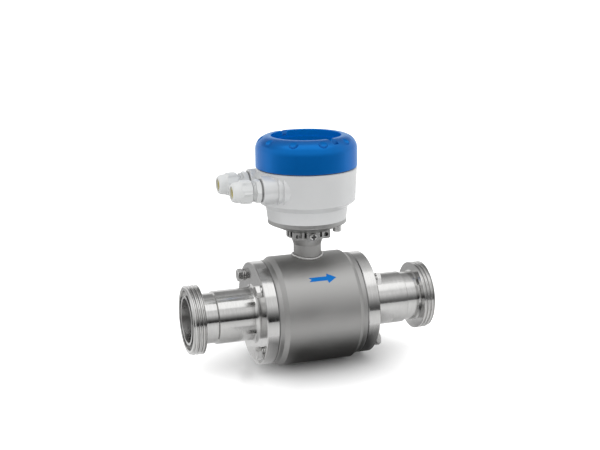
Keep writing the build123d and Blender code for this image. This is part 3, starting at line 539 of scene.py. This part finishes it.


# %% [markdown]
# ## The finishes of the meter
# The pipes and flanges are turned stainless steel, half bright. The sensor shell is blasted, so it only
# shows a soft sheen. The converter housing is powder coated in light grey and its cover in a clear blue. The
# walls of the cover's well are painted a lighter blue: painted light that brightens the deep well.
# Glands are moulded polyamide with a yellow-green sealing insert.

# %% Finishes
# Each row: name, colour, matt level and its spread, metal, marks a metre, relief, tint, clouds a metre, and
# where they aren't the usual ones also kind of marks, gloss, colour of the sheen and painted light in the
# well
FINISHES = (
    ("polished_steel", (0.54, 0.537, 0.53), 0.13, 0.06, 1.0, 700, 22, 0.09, 30, TURNED),
    ("satin_steel", (0.40, 0.397, 0.391), 0.47, 0.05, 1.0, 2500, 30, 0.03),
    ("bolt_steel", (0.60, 0.597, 0.59), 0.28, 0.06, 1.0, 1800, 10, 0.04, 120),
    ("bare_alloy", (0.36, 0.36, 0.355), 0.40, 0.08, 1.0, 1200, 40, 0.08, 90),
    ("grey_paint", (0.64, 0.647, 0.65), 0.24, 0.04, 0.1, 500, 20, 0.015, 20),
    # The last colour of the blue row is painted light for the walls of the cover's well.
    ("blue_paint", (0.0, 0.11, 0.42), 0.24, 0.05, 0.4, 450, 15, 0.04, 20, GRAIN, 0.95,
     (0.12, 0.62, 1.0), (0.0, 0.22, 0.68)),
    ("grey_polyamide", (0.68, 0.69, 0.687), 0.40, 0.06, 0.0, 1500, 20, 0.02, 60),
    ("olive_rubber", (0.50, 0.42, 0.10), 0.55, 0.06, 0.0, 1200, 30, 0.08, 150),
    ("black_rubber", (0.02, 0.02, 0.02), 0.60, 0.08, 0.0, 1500, 30, 0.15, 90),
    ("grey_rubber", (0.20, 0.20, 0.20), 0.55, 0.08, 0.0, 1500, 30, 0.1, 90),
    ("white_liner", (0.82, 0.82, 0.79), 0.35, 0.05, 0.0, 900, 20, 0.02, 40),
    ("core_iron", (0.22, 0.22, 0.22), 0.45, 0.08, 1.0, 1200, 50, 0.1, 90),
    ("coil_copper", (0.60, 0.27, 0.13), 0.35, 0.05, 1.0, 1800, 40, 0.1, 90),
    ("black_plastic", (0.03, 0.03, 0.03), 0.45, 0.06, 0.0, 1500, 30, 0.1, 60),
    ("board_green", (0.015, 0.14, 0.06), 0.30, 0.05, 0.0, 700, 30, 0.2, 200),
    ("display_grey", (0.40, 0.44, 0.34), 0.15, 0.03, 0.0, 600, 10, 0.03, 30),
    ("key_grey", (0.28, 0.29, 0.30), 0.40, 0.06, 0.0, 1500, 30, 0.05, 80),
    ("terminal_green", (0.05, 0.28, 0.10), 0.40, 0.05, 0.0, 1500, 30, 0.08, 80),
    ("lead_sheath", (0.72, 0.72, 0.70), 0.45, 0.05, 0.0, 1500, 20, 0.04, 80),
)
finishes = {row[0]: finish(*row) for row in FINISHES}
print("finishes", len(finishes))


# %% Window glass
def window_glass():
    """Clear toughened glass with the faintest haze."""
    material, tree, shader = new_material("window_glass")
    clouds = Formula(tree, use_group(tree, CLOUDS, 25)["Cloud"])
    fill(tree, shader, {"Base Color": (0.93, 0.96, 0.95, 1), "Transmission Weight": 1.0, "IOR": 1.5,
                        "Roughness": clouds * 0.02 + 0.01})
    return material


finishes["window_glass"] = window_glass()


# %% Dress the solids that keep their shape
slot_of = {part["node"]: part["material_slot"] for part in frame["record"]["subparts"]}
for name, node in nodes.items():
    for place in node.material_slots:
        place.material = finishes[slot_of[name]]
print("dressed", len(nodes))

# %% [markdown]
# ## Skins and formulas
# Most hand-made pieces of the meter are turned: a row of rings along an axis, each ring a closed loop of
# points. One helper skins such rings into a closed mesh. Because a ring is any closed loop, the same helper
# makes round pipes, six-sided nuts and the neck that is cut to sit on the round shell.

# %% Mesh helpers
SHARP_ANGLE = math.radians(32)
TINY = 1e-7


def skinned(name, rings, closed=True):
    """Mesh object from closed rings of equally many points; closed also ties the last ring to the first."""
    count = len(rings[0])
    points = [point for ring in rings for point in ring]
    spans = len(rings) if closed else len(rings) - 1
    faces = []
    for row in range(spans):
        here = row * count
        there = (row + 1) % len(rings) * count
        for i in range(count):
            ahead = (i + 1) % count
            faces.append((here + i, here + ahead, there + ahead, there + i))
    return new_mesh(name, points, faces)


def tidied(piece, merge=TINY, capped=False):
    """Merges doubled points, turns faces outwards, keeps sharp edges crisp; capped also closes open ends."""
    work = bmesh.new()
    work.from_mesh(piece.data)
    if capped:
        bmesh.ops.holes_fill(work, edges=work.edges)
    bmesh.ops.remove_doubles(work, verts=work.verts, dist=merge)
    bmesh.ops.dissolve_degenerate(work, edges=work.edges, dist=merge)
    bmesh.ops.recalc_face_normals(work, faces=work.faces)
    work.to_mesh(piece.data)
    work.free()
    piece.data.shade_smooth()
    piece.data.set_sharp_from_angle(angle=SHARP_ANGLE)
    return piece


def joined(name, *pieces):
    """One object out of several."""
    work = bmesh.new()
    for piece in pieces:
        work.from_mesh(piece.data)
        bpy.data.objects.remove(piece)
    mesh = bpy.data.meshes.new(name)
    work.to_mesh(mesh)
    work.free()
    return new_object(name, mesh)


def ring_x(x, radius, steps):
    """Ring round the flow axis; radius is a number or a function of the angle."""
    reach = radius if callable(radius) else lambda angle: radius
    return [(x, reach(turn) * math.cos(turn), reach(turn) * math.sin(turn)) for turn in turns(steps)]


def plain_rings(section, steps):
    """Round rings from (x, radius) pairs in millimetres."""
    return [ring_x(x * MM, radius * MM, steps) for x, radius in section]


def shifted(rings, x=0.0, y=0.0, z=0.0, side=1):
    """Rings moved into place, and mirrored along the flow when side is -1."""
    return [[(side * px + x, py + y, pz + z) for px, py, pz in ring] for ring in rings]


def hand_over(piece, body, finish_name, *replaced):
    """Gives a finished piece its material, the body it rides on and the nodes it stands for."""
    piece.data.materials.clear()
    piece.data.materials.append(finishes[finish_name])
    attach(piece, body)
    if replaced:
        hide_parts(*replaced)
    print(piece.name, len(piece.data.polygons), "faces on", body)


# %% [markdown]
# ## Geometry trees
# A screw thread follows one rule all the way round, so it is a formula, not a model: a flat grid is rolled
# into a sleeve, and the groove goes in where the place along the axis and the turn of the sleeve agree. The
# helper below makes an empty tree with named inputs, and another turns its result into a plain mesh.


# %% Tree helpers
def new_tree(name, inputs):
    """Geometry tree with a material input and other inputs, listed by their kind of socket."""
    tree = bpy.data.node_groups.new(name, "GeometryNodeTree")
    for kind, titles in {**inputs, "Material": ("Material",)}.items():
        for title in titles:
            tree.interface.new_socket(name=title, in_out="INPUT", socket_type="NodeSocket" + kind)
    tree.interface.new_socket(name="Geometry", in_out="OUTPUT", socket_type="NodeSocketGeometry")
    return tree, put(tree, "NodeGroupInput").outputs


def end_tree(tree, shape, given):
    """Closes a tree: real geometry instead of instances, smooth, with its material."""
    for kind in ("RealizeInstances", "SetShadeSmooth", "SetMaterial"):
        node = put(tree, "GeometryNode" + kind, {"Geometry": shape})
        shape = node.outputs[0]
    feed(tree, node.inputs["Material"], given["Material"])
    put(tree, "NodeGroupOutput", {0: shape})
    return tree


def grown(name, tree, values, start=None):
    """Runs a tree with its inputs set by name, and returns the plain mesh object that it makes."""
    carrier = start or new_mesh(name + "_carrier", [], [])
    modifier = carrier.modifiers.new("tree", "NODES")
    modifier.node_group = tree
    keys = {item.name: item.identifier for item in tree.interface.items_tree if item.in_out == "INPUT"}
    for title, value in values.items():
        modifier[keys[title]] = value
    carrier.update_tag()
    seen = bpy.context.evaluated_depsgraph_get()
    mesh = bpy.data.meshes.new_from_object(carrier.evaluated_get(seen))
    piece = new_object(name, mesh)
    bpy.data.objects.remove(carrier)
    return piece


# %% Round thread tree
GROOVE_FROM = 0.12
GROOVE_TO = 0.86
SEAM_MERGE = 1e-6


def round_thread_tree():
    """Sleeve with a right-hand round thread, a lead-in cone at its face and a run-out at its back."""
    tree, given = new_tree("round_thread", {
        "Float": ("Crest Radius", "Groove Depth", "Pitch", "Length", "Lead In", "Run Out", "Face", "Side",
                  "Phase"),
        "Int": ("Steps Round", "Steps Along")})
    crest, depth, length, side = [
        Formula(tree, given[title]) for title in ("Crest Radius", "Groove Depth", "Length", "Side")]
    grid = put(tree, "GeometryNodeMeshGrid", {
        "Size X": 1.0, "Size Y": 1.0, "Vertices X": given["Steps Round"], "Vertices Y": given["Steps Along"]})
    flat = put(tree, "ShaderNodeSeparateXYZ", {"Vector": put(tree, "GeometryNodeInputPosition").outputs[0]})
    turn = Formula(tree, flat.outputs["X"]) + 0.5
    back = (Formula(tree, flat.outputs["Y"]) + 0.5) * length
    along = side * (Formula(tree, given["Face"]) - back)
    winding = along / given["Pitch"] - turn - given["Phase"]
    from_groove = (winding.calculate("FRACT") - 0.5).calculate("ABSOLUTE") * 2
    groove = from_groove.eased(GROOVE_FROM, GROOVE_TO).rest()
    fading = back.eased(length - given["Run Out"], length)
    cut = depth * groove * fading.rest()
    cone = crest - depth + back * (depth / given["Lead In"])
    radius = (crest - cut).calculate("MINIMUM", cone)
    angle = turn * math.tau
    across, up = radius * angle.calculate("COSINE"), radius * angle.calculate("SINE")
    place = vector(tree, along, across, up)
    rolled = put(tree, "GeometryNodeSetPosition", {"Geometry": grid.outputs["Mesh"], "Position": place})
    seamed = put(tree, "GeometryNodeMergeByDistance", {"Geometry": rolled.outputs[0], "Distance": SEAM_MERGE})
    return end_tree(tree, seamed.outputs[0], given)


round_thread = round_thread_tree()

# %% [markdown]
# ## Threaded couplings
# Each end carries a male round thread, as dairy and food pipes do: coarse, rounded, easy to clean. Behind
# the thread sits the recess for the sealing ring. The sleeve from the tree is joined to a turned body, and
# both have the same number of points round, so their rims merge into one closed skin.

# %% Couplings
THREAD_R = 39.0
THREAD_DEPTH = 2.1
THREAD_PITCH = 25.4 / 6
THREAD_PHASE = 0.32
THREAD_STEPS = 288
THREAD_STEPS_ALONG = 100
COUPLING_LENGTH = 14.6
LEAD_IN = 1.2
RUN_OUT = 0.8
BORE_R = 25.0
LIP_R = 27.8
RECESS_R = 33.4
RECESS_DEPTH = 4.5
PIPE_R = 28.3
WELD_BEAD = 1.6
EDGE_BREAK = 0.35
RIM_MERGE = 2e-6
face_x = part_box("outlet_coupling")[1].x / MM


def coupling_section():
    """The turned body behind and inside the thread, from the back of the thread round to its face."""
    back = face_x - COUPLING_LENGTH
    floor_x = face_x - RECESS_DEPTH
    return [(back, THREAD_R), (back, PIPE_R + WELD_BEAD), (back - 0.5 * WELD_BEAD, PIPE_R + 0.45 * WELD_BEAD),
            (back - WELD_BEAD, PIPE_R), (back - WELD_BEAD, BORE_R), (face_x - EDGE_BREAK, BORE_R),
            (face_x, BORE_R + EDGE_BREAK), (face_x, LIP_R - EDGE_BREAK), (face_x - EDGE_BREAK, LIP_R),
            (floor_x, LIP_R), (floor_x, RECESS_R), (face_x - EDGE_BREAK, RECESS_R),
            (face_x, RECESS_R + EDGE_BREAK), (face_x, THREAD_R - THREAD_DEPTH)]


def coupling(name, side):
    """Sleeve with the thread and turned body, joined to one closed skin."""
    lengths = {"Crest Radius": THREAD_R, "Groove Depth": THREAD_DEPTH, "Pitch": THREAD_PITCH,
               "Length": COUPLING_LENGTH, "Lead In": LEAD_IN, "Run Out": RUN_OUT, "Face": face_x}
    sleeve = grown(name + "_sleeve", round_thread, {
        **{title: value * MM for title, value in lengths.items()}, "Side": float(side), "Phase": THREAD_PHASE,
        "Steps Round": THREAD_STEPS + 1, "Steps Along": THREAD_STEPS_ALONG,
        "Material": finishes["polished_steel"]})
    rings = plain_rings(coupling_section(), THREAD_STEPS)
    body = skinned(name + "_body", shifted(rings, side=side), closed=False)
    return tidied(joined(name, sleeve, body), RIM_MERGE)


for end, side in (("inlet", -1), ("outlet", 1)):
    hand_over(coupling(end + "_thread", side), "meter", "polished_steel", end + "_coupling")

# %% [markdown]
# ## Weld seams
# A weld is a row of frozen ripples. Many flattened beads laid along a path, each a little different in
# size, read as one at once. They serve the saddle under the neck.


# %% Weld tree
def weld_tree():
    """Flattened beads along a closed path, a little uneven; the seed fixes which."""
    tree, given = new_tree("beads_on_path", {
        "Geometry": ("Geometry",), "Float": ("Spacing", "Bead Width", "Bead Length", "Unevenness"),
        "Int": ("Seed",)})
    path = {"Curve": given["Geometry"], "Length": given["Spacing"]}
    even = put(tree, "GeometryNodeResampleCurve", path, mode="LENGTH")
    ball = put(tree, "GeometryNodeMeshIcoSphere", {"Radius": 0.5, "Subdivisions": 3})
    uneven = Formula(tree, given["Unevenness"])
    limits = {"Min": uneven.rest(), "Max": uneven + 1, "Seed": given["Seed"]}
    chance = put(tree, "FunctionNodeRandomValue", limits, data_type="FLOAT")
    wide = Formula(tree, given["Bead Width"]) * chance.outputs["Value"]
    size = vector(tree, wide, wide, given["Bead Length"])
    line = put(tree, "GeometryNodeInputTangent").outputs[0]
    turned = put(tree, "FunctionNodeAlignRotationToVector", {"Vector": line}, axis="Z")
    beads = put(tree, "GeometryNodeInstanceOnPoints", {
        "Points": even.outputs[0], "Instance": ball.outputs[0], "Rotation": turned.outputs[0],
        "Scale": size})
    return end_tree(tree, beads.outputs[0], given)


beads_on_path = weld_tree()


def closed_path(name, points):
    """Closed curve through the given points."""
    data = bpy.data.curves.new(name, "CURVE")
    data.dimensions = "3D"
    spline = data.splines.new("POLY")
    spline.points.add(len(points) - 1)
    for slot, point in zip(spline.points, points):
        slot.co = (*point, 1)
    spline.use_cyclic_u = True
    return new_object(name, data)


# %% [markdown]
# ## Neck
# The neck is a plain tube whose foot is cut to the round of the shell, then welded all round. Its rings are
# bent: at each angle the foot point is dropped on to the shell.

# %% Neck tube and its weld
NECK_R = 15.75
NECK_T = 2.4
NECK_STEPS = 128
SHELL_R = 62.3
FOOT_SINK = 0.2
SADDLE_R = NECK_R + 0.5
SADDLE_LIFT = 0.9
SADDLE_BEADS = {"Spacing": 2.1, "Bead Width": 3.8, "Bead Length": 3.9}
SADDLE_UNEVENNESS = 0.42
SADDLE_SEED = 4
neck_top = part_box("neck_tube")[1].z / MM


def neck_ring(radius, rise, lift=-FOOT_SINK):
    """Ring round the neck: rise 0 follows the shell with a little lift, rise 1 is the level top."""
    ring = []
    for turn in turns(NECK_STEPS):
        shell_z = math.sqrt((SHELL_R + lift) ** 2 - (radius * math.sin(turn)) ** 2)
        z = shell_z * (1 - rise) + neck_top * rise
        ring.append((radius * math.cos(turn) * MM, radius * math.sin(turn) * MM, z * MM))
    return ring


inner_r = NECK_R - NECK_T
neck_rings = [neck_ring(NECK_R, rise) for rise in (0, 0.5, 1)] + [neck_ring(inner_r, rise) for rise in (1, 0)]
neck = tidied(skinned("neck", neck_rings))
hand_over(neck, "meter", "satin_steel", "neck_tube")

saddle = neck_ring(SADDLE_R, 0, SADDLE_LIFT)
neck_weld = grown("neck_weld", beads_on_path, {
    **{title: value * MM for title, value in SADDLE_BEADS.items()}, "Unevenness": SADDLE_UNEVENNESS,
    "Seed": SADDLE_SEED, "Material": finishes["polished_steel"]}, closed_path("saddle", saddle))
hand_over(neck_weld, "meter", "polished_steel")

# %% [markdown]
# ## Hexagons that have met a lathe
# A bolt head and a gland nut are six-sided bars with their corners turned away. The corner line then curves
# from flat to flat, and that curve is what the eye reads as a real nut. It falls out of one rule: along
# each direction, the bar ends where the turned cone crosses the flat.


# %% Hexagon rules
SIXTH_TURN = math.radians(60)


def from_flat(angle):
    """Angle from the middle of the nearest flat, from minus to plus a twelfth of a turn."""
    return angle % SIXTH_TURN - SIXTH_TURN / 2


def flat_reach(across_flats):
    """Function of the angle: how far the side of a hexagon lies from its axis."""
    return lambda angle: across_flats / 2 / math.cos(from_flat(angle))


def cone_ring(side_reach, edge_radius, edge_x, slope, steps):
    """Ring where the sides meet a cone with edge_radius at edge_x that falls by slope per unit of radius."""
    ring = []
    for turn in turns(steps):
        radius = side_reach(turn)
        x = edge_x - slope * max(0.0, radius - edge_radius)
        ring.append((x * MM, radius * math.cos(turn) * MM, radius * math.sin(turn) * MM))
    return ring


# %% [markdown]
# ## Copies round the flow axis
# Four bolts hold each flange. One bolt and one split washer are modelled at the axis, and a tree sets
# copies of them on the bolt circle, each turned by a chance angle, because nobody tightens four bolts to
# the same corner.


# %% Copies tree
def copies_tree():
    """Copies of a piece on a circle round the flow axis, each turned about itself by a chance angle."""
    tree, given = new_tree("copies_round_axis", {
        "Object": ("Piece",), "Int": ("Count", "Seed"), "Float": ("Circle Radius", "First Angle")})
    number = Formula(tree, put(tree, "GeometryNodeInputIndex").outputs[0])
    angle = number * math.tau / given["Count"] + given["First Angle"]
    reach = given["Circle Radius"]
    across, up = angle.calculate("COSINE") * reach, angle.calculate("SINE") * reach
    place = vector(tree, y=across, z=up)
    points = put(tree, "GeometryNodePoints", {"Count": given["Count"], "Position": place})
    limits = {"Min": 0.0, "Max": math.tau, "Seed": given["Seed"]}
    chance = put(tree, "FunctionNodeRandomValue", limits, data_type="FLOAT")
    turned = vector(tree, x=chance.outputs["Value"])
    piece = put(tree, "GeometryNodeObjectInfo", {"Object": given["Piece"], "As Instance": True})
    copies = put(tree, "GeometryNodeInstanceOnPoints", {
        "Points": points.outputs[0], "Instance": piece.outputs["Geometry"], "Rotation": turned})
    return end_tree(tree, copies.outputs[0], given)


copies_round_axis = copies_tree()

# %% Bolts and split washers
BOLT_CIRCLE_R = 50.5
BOLT_COUNT = 4
BOLT_R = 4.0
BOLT_TIP_BEVEL = 0.5
FIRST_BOLT = math.radians(45)
HEAD_AF = 13.0
HEAD_H = 5.3
HEAD_FACE_R = 6.1
HEAD_FOOT = 0.3
HEAD_SLOPE = 0.55
DISH_RIM = 0.6
DISH_SLOPE = 0.3
DISH_DEPTH = 0.15
WASHER_R = 6.7
WASHER_HOLE_R = 4.3
WASHER_T = 2.0
WASHER_GAP = math.radians(14)
WASHER_SPRING = 0.35
WASHER_CORNER = 0.2
seat_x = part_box("outlet_bolts")[1].x / MM - HEAD_H
tip_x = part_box("outlet_bolts")[0].x / MM


def bolt_rings(steps=96):
    """Shank, bearing face and chamfered head, along +X."""
    top = seat_x + HEAD_H
    side = flat_reach(HEAD_AF)
    dish_r = HEAD_FACE_R - DISH_RIM
    rings = plain_rings([
        (tip_x, 0.0), (tip_x, BOLT_R - BOLT_TIP_BEVEL), (tip_x + BOLT_TIP_BEVEL, BOLT_R), (seat_x, BOLT_R),
        (seat_x, HEAD_FACE_R), (seat_x + HEAD_FOOT, HEAD_FACE_R)], steps)
    rings.append(ring_x((seat_x + HEAD_FOOT) * MM, lambda angle: side(angle) * MM, steps))
    rings.append(cone_ring(side, HEAD_FACE_R, top, HEAD_SLOPE, steps))
    dish = [(top, dish_r), (top - DISH_DEPTH, dish_r - DISH_SLOPE), (top - DISH_DEPTH, 0.0)]
    return rings + plain_rings([(top, HEAD_FACE_R)] + dish, steps)


def washer_mesh(name, side, steps=56):
    """Split spring washer: a square bar wound once, its ends a little apart."""
    half = (WASHER_T - WASHER_SPRING) / 2
    middle = seat_x - WASHER_T / 2
    corner = WASHER_CORNER
    section = [(half - corner, WASHER_R), (half, WASHER_R - corner), (half, WASHER_HOLE_R + corner),
               (half - corner, WASHER_HOLE_R)]
    section += [(-x, radius) for x, radius in reversed(section)]
    rings = []
    for i in range(steps + 1):
        share = i / steps
        angle = WASHER_GAP / 2 + (math.tau - WASHER_GAP) * share
        lift = WASHER_SPRING * (share - 0.5)
        rings.append([(side * (middle + lift + dx) * MM, r * math.cos(angle) * MM, r * math.sin(angle) * MM)
                      for dx, r in section])
    return tidied(skinned(name, rings, closed=False), capped=True)


def on_bolt_circle(name, pattern, seed, replaced):
    """Sets copies of a piece on the bolt circle, in place of a node."""
    values = {"Piece": pattern, "Count": BOLT_COUNT, "Circle Radius": BOLT_CIRCLE_R * MM,
              "First Angle": FIRST_BOLT, "Seed": seed, "Material": finishes["bolt_steel"]}
    piece = tidied(grown(name, copies_round_axis, values))
    bpy.data.objects.remove(pattern)
    hand_over(piece, "meter", "bolt_steel", replaced)


for end, side, seed in (("inlet", -1, 2), ("outlet", 1, 7)):
    bolt = tidied(skinned("bolt", shifted(bolt_rings(), side=side), closed=False))
    on_bolt_circle(end + "_hex_bolts", bolt, seed, end + "_bolts")
    on_bolt_circle(end + "_split_washers", washer_mesh("washer", side), seed + 1, end + "_washers")

# %% [markdown]
# ## Painted shade in the cross recess
# The clamp screw of the stop collar has a cross recess. It is only a few millimetres wide, so what the eye
# gets is a crisp dark cross in a bright head. The solid has the slots; a thin black cross of painted shade
# covers them, a little wider than they are and hardly proud of the screw's face, so that it stays dark from
# every side.

# %% Painted shade of the cross recess
RECESS_ARM = 5.8
RECESS_WIDTH = 2.1
RECESS_PROUD = 0.03
RECESS_THICK = 0.3
screw_low, screw_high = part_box("clamp_screw")
screw_x, screw_z = (screw_low.x + screw_high.x) / 2, (screw_low.z + screw_high.z) / 2


def cross_outline(arm, width):
    """Twelve corners of a cross, going round."""
    a, w = arm / 2, width / 2
    quarter = [(a, -w), (a, w), (w, w)]
    corners = []
    for _ in range(4):
        corners += quarter
        quarter = [(-y, x) for x, y in quarter]
    return corners


def painted_shade_cross():
    """Thin black cross over the slots of the clamp screw, a little proud of its face: painted shade of the
    recess.
    """
    front = screw_low.y - RECESS_PROUD * MM
    corners = cross_outline(RECESS_ARM, RECESS_WIDTH)
    rings = [[(screw_x + x * MM, y, screw_z + z * MM) for x, z in corners]
             for y in (front, front + RECESS_THICK * MM)]
    return tidied(skinned("cross_recess", rings, closed=False), capped=True)


# The black cross is painted shade: it stands in for the shade deep in the recess.
hand_over(painted_shade_cross(), "meter", "black_plastic")

# %% [markdown]
# ## Cable glands
# A gland nut starts as a hexagon at its foot and ends as a round dome at its mouth. The turned cone that
# takes its corners off is long and steep, so the flats run out in slanted arcs. Beside each corner a few
# fine grip lines are moulded in. The gland body carries a hexagon, two thin collars and the fine thread
# that the nut runs on.

# %% Gland nuts
NUT_AF = 24.0
NUT_HEX_L = 13.5
NUT_DOME_L = 8.5
NUT_DOME_R = 11.5
NUT_TAPER = 1.3
NUT_MOUTH_R = 6.9
NUT_FACE_R = 7.9
NECK_BORE_R = 9.68
NECK_DEPTH = 10.9
SEAL_BORE_R = 8.9
MOUTH_T = 2.2
GRIP_FROM = math.radians(15)
GRIP_TO = math.radians(26)
GRIP_LINES = 3
GRIP_DEPTH = 0.34
GRIP_FOOT = 0.25
GRIP_TOP = 0.4
FOOT_EDGE = 0.5
FOOT_SLOPE = 0.45
MOUTH_EDGE = 0.3
DOME_RINGS = 12
DOME_BULGE = 0.8
GLAND_STEPS = 720


def gripped_reach(across_flats):
    """Side of a hexagon with fine grip lines on both sides of each corner."""
    side = flat_reach(across_flats)

    def reach(angle):
        share = (abs(from_flat(angle)) - GRIP_FROM) / (GRIP_TO - GRIP_FROM)
        if share <= 0 or share >= 1:
            return side(angle)
        return side(angle) - GRIP_DEPTH * (0.5 - 0.5 * math.cos(math.tau * GRIP_LINES * share))
    return reach


def nut_rings():
    """Dome nut along +X with its foot at 0, from the inside of the mouth round the outside and back."""
    total = NUT_HEX_L + NUT_DOME_L
    sides = gripped_reach(NUT_AF)
    flats = flat_reach(NUT_AF)
    foot_edge = NUT_AF / 2 - FOOT_EDGE
    rings = plain_rings([
        (total - MOUTH_T, SEAL_BORE_R), (NECK_DEPTH, SEAL_BORE_R), (NECK_DEPTH, NECK_BORE_R),
        (0.0, NECK_BORE_R), (0.0, foot_edge)], GLAND_STEPS)
    rings.append(cone_ring(flats, foot_edge, 0.0, -FOOT_SLOPE, GLAND_STEPS))
    gripped = cone_ring(sides, foot_edge, 0.0, -FOOT_SLOPE, GLAND_STEPS)
    rings.append([(x + GRIP_FOOT * MM, y, z) for x, y, z in gripped])
    gripped = cone_ring(sides, NUT_DOME_R, NUT_HEX_L, NUT_TAPER, GLAND_STEPS)
    rings.append([(x - GRIP_TOP * MM, y, z) for x, y, z in gripped])
    rings.append(cone_ring(flats, NUT_DOME_R, NUT_HEX_L, NUT_TAPER, GLAND_STEPS))
    for i in range(DOME_RINGS + 1):
        turn = math.radians(90) * i / DOME_RINGS
        radius = NUT_FACE_R + (NUT_DOME_R - NUT_FACE_R) * math.cos(turn) ** DOME_BULGE
        rings += plain_rings([(NUT_HEX_L + NUT_DOME_L * math.sin(turn), radius)], GLAND_STEPS)
    return rings + plain_rings([
        (total, NUT_MOUTH_R + MOUTH_EDGE), (total - MOUTH_EDGE, NUT_MOUTH_R), (total - MOUTH_T, NUT_MOUTH_R)],
        GLAND_STEPS)


gland_places = {}
for place in ("front", "back"):
    low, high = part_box("gland_nut_" + place)
    gland_places[place] = (high.x, (low.y + high.y) / 2, (low.z + high.z) / 2)
    foot, y, z = gland_places[place]
    nut = tidied(skinned(place + "_dome_nut", shifted(nut_rings(), foot, y, z, side=-1)))
    hand_over(nut, place + "_nut", "grey_polyamide", "gland_nut_" + place)

# %% Gland bodies
BODY_HEX_AF = 24.0
BODY_HEX_L = 6.0
BODY_HEX_EDGE = 0.3
BODY_HEX_SLOPE = 0.55
BODY_SCREW_R = 9.95
BODY_SCREW_BEVEL = 0.6
COLLAR_R = 11.5
COLLAR_T = 0.9
COLLAR_GAP = 0.6
COLLAR_BEVEL = 0.15
COLLAR_ROOT_R = 10.4
NECK_THREAD_R = 9.6
NECK_THREAD_DEPTH = 0.55
NECK_THREAD_PITCH = 1.5
NECK_CREST = (0.5, 0.7)
NECK_END = 0.3
BODY_BORE_R = 7.2
BODY_STEPS = 180


def thread_neck_section(start, stop):
    """Fine ridges along the gland neck, as (x, radius) pairs."""
    root = NECK_THREAD_R - NECK_THREAD_DEPTH
    section = []
    for i in range(int((stop - start) / NECK_THREAD_PITCH)):
        x = start + i * NECK_THREAD_PITCH
        section.append((x, root))
        section += [(x + share * NECK_THREAD_PITCH, NECK_THREAD_R) for share in NECK_CREST]
    return section + [(stop - NECK_END, root), (stop, root)]


def gland_body_rings(length_in, length_out):
    """Gland body along +X: the hexagon starts at 0, the screw goes back by length_in."""
    side = flat_reach(BODY_HEX_AF)
    edge = BODY_HEX_AF / 2 - BODY_HEX_EDGE
    rings = plain_rings([
        (-length_in, BODY_BORE_R), (-length_in, BODY_SCREW_R - BODY_SCREW_BEVEL),
        (BODY_SCREW_BEVEL - length_in, BODY_SCREW_R), (0.0, BODY_SCREW_R), (0.0, edge)], BODY_STEPS)
    rings.append(cone_ring(side, edge, 0.0, -BODY_HEX_SLOPE, BODY_STEPS))
    rings.append(cone_ring(side, edge, BODY_HEX_L, BODY_HEX_SLOPE, BODY_STEPS))
    section = [(BODY_HEX_L, edge), (BODY_HEX_L, COLLAR_ROOT_R)]
    x = BODY_HEX_L + COLLAR_GAP
    for _ in range(2):
        stop = x + COLLAR_T
        section += [(x, COLLAR_ROOT_R), (x, COLLAR_R - COLLAR_BEVEL), (x + COLLAR_BEVEL, COLLAR_R),
                    (stop - COLLAR_BEVEL, COLLAR_R), (stop, COLLAR_R - COLLAR_BEVEL), (stop, COLLAR_ROOT_R)]
        x += COLLAR_T + COLLAR_GAP
    section += thread_neck_section(x - COLLAR_GAP, length_out)
    section.append((length_out, BODY_BORE_R))
    return rings + plain_rings(section, BODY_STEPS)


for place in ("front", "back"):
    low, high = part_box("gland_body_" + place)
    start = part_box("gland_washer_" + place)[0].x
    rings = gland_body_rings((high.x - start) / MM, (start - low.x) / MM)
    foot, y, z = gland_places[place]
    body = tidied(skinned(place + "_gland", shifted(rings, start, y, z, side=-1)))
    hand_over(body, "meter", "grey_polyamide", "gland_body_" + place)

# %% [markdown]
# ## Flow arrow
# The arrow is printed on the shell. It is drawn flat, given the thickness of paint, sliced across so that
# it can bend, and rolled on to the shell at the height where the eye meets it.

# %% Arrow
ARROW_ANGLE = math.radians(43.8)
ARROW_TAIL = -13.3
ARROW_NOTCH = -10.2
ARROW_NECK = 7.8
ARROW_BARB = 8.9
ARROW_TIP = 18.9
SHAFT_HALF = 2.6
HEAD_HALF = 6.1
PAINT = 0.05
PAINT_SINK = 0.03
SLICES = 12
SLICE_GAP = 0.5
SLICE_SHIFT = 0.01


def arrow_outline():
    """Swallow-tailed arrow, pointing along the flow."""
    lower = [(ARROW_TAIL, -SHAFT_HALF), (ARROW_NECK, -SHAFT_HALF), (ARROW_BARB, -HEAD_HALF)]
    upper = [(x, -y) for x, y in reversed(lower)]
    return lower + [(ARROW_TIP, 0.0)] + upper + [(ARROW_NOTCH, 0.0)]


def rolled_print(name, outline, angle):
    """Flat outline with a thickness, bent on to the shell at the given angle from the top."""
    work = bmesh.new()
    face = work.faces.new([work.verts.new((x, y, -PAINT_SINK)) for x, y in outline])
    grown_part = bmesh.ops.extrude_face_region(work, geom=[face])["geom"]
    bmesh.ops.translate(work, verts=[part for part in grown_part if isinstance(part, bmesh.types.BMVert)],
                        vec=(0, 0, PAINT + PAINT_SINK))
    for step in range(-SLICES, SLICES + 1):
        everything = work.verts[:] + work.edges[:] + work.faces[:]
        cut_at = (0, step * SLICE_GAP + SLICE_SHIFT, 0)
        bmesh.ops.bisect_plane(work, geom=everything, plane_co=cut_at, plane_no=(0, 1, 0))
    for point in work.verts:
        x, across, lift = point.co
        reach = SHELL_R + lift
        turn = angle - across / SHELL_R
        point.co = Vector((x, -reach * math.sin(turn), reach * math.cos(turn))) * MM
    mesh = bpy.data.meshes.new(name)
    work.to_mesh(mesh)
    work.free()
    return tidied(new_object(name, mesh))


hand_over(rolled_print("flow_arrow", arrow_outline(), ARROW_ANGLE), "meter", "blue_paint")

# %% Update the scene
bpy.context.view_layer.update()
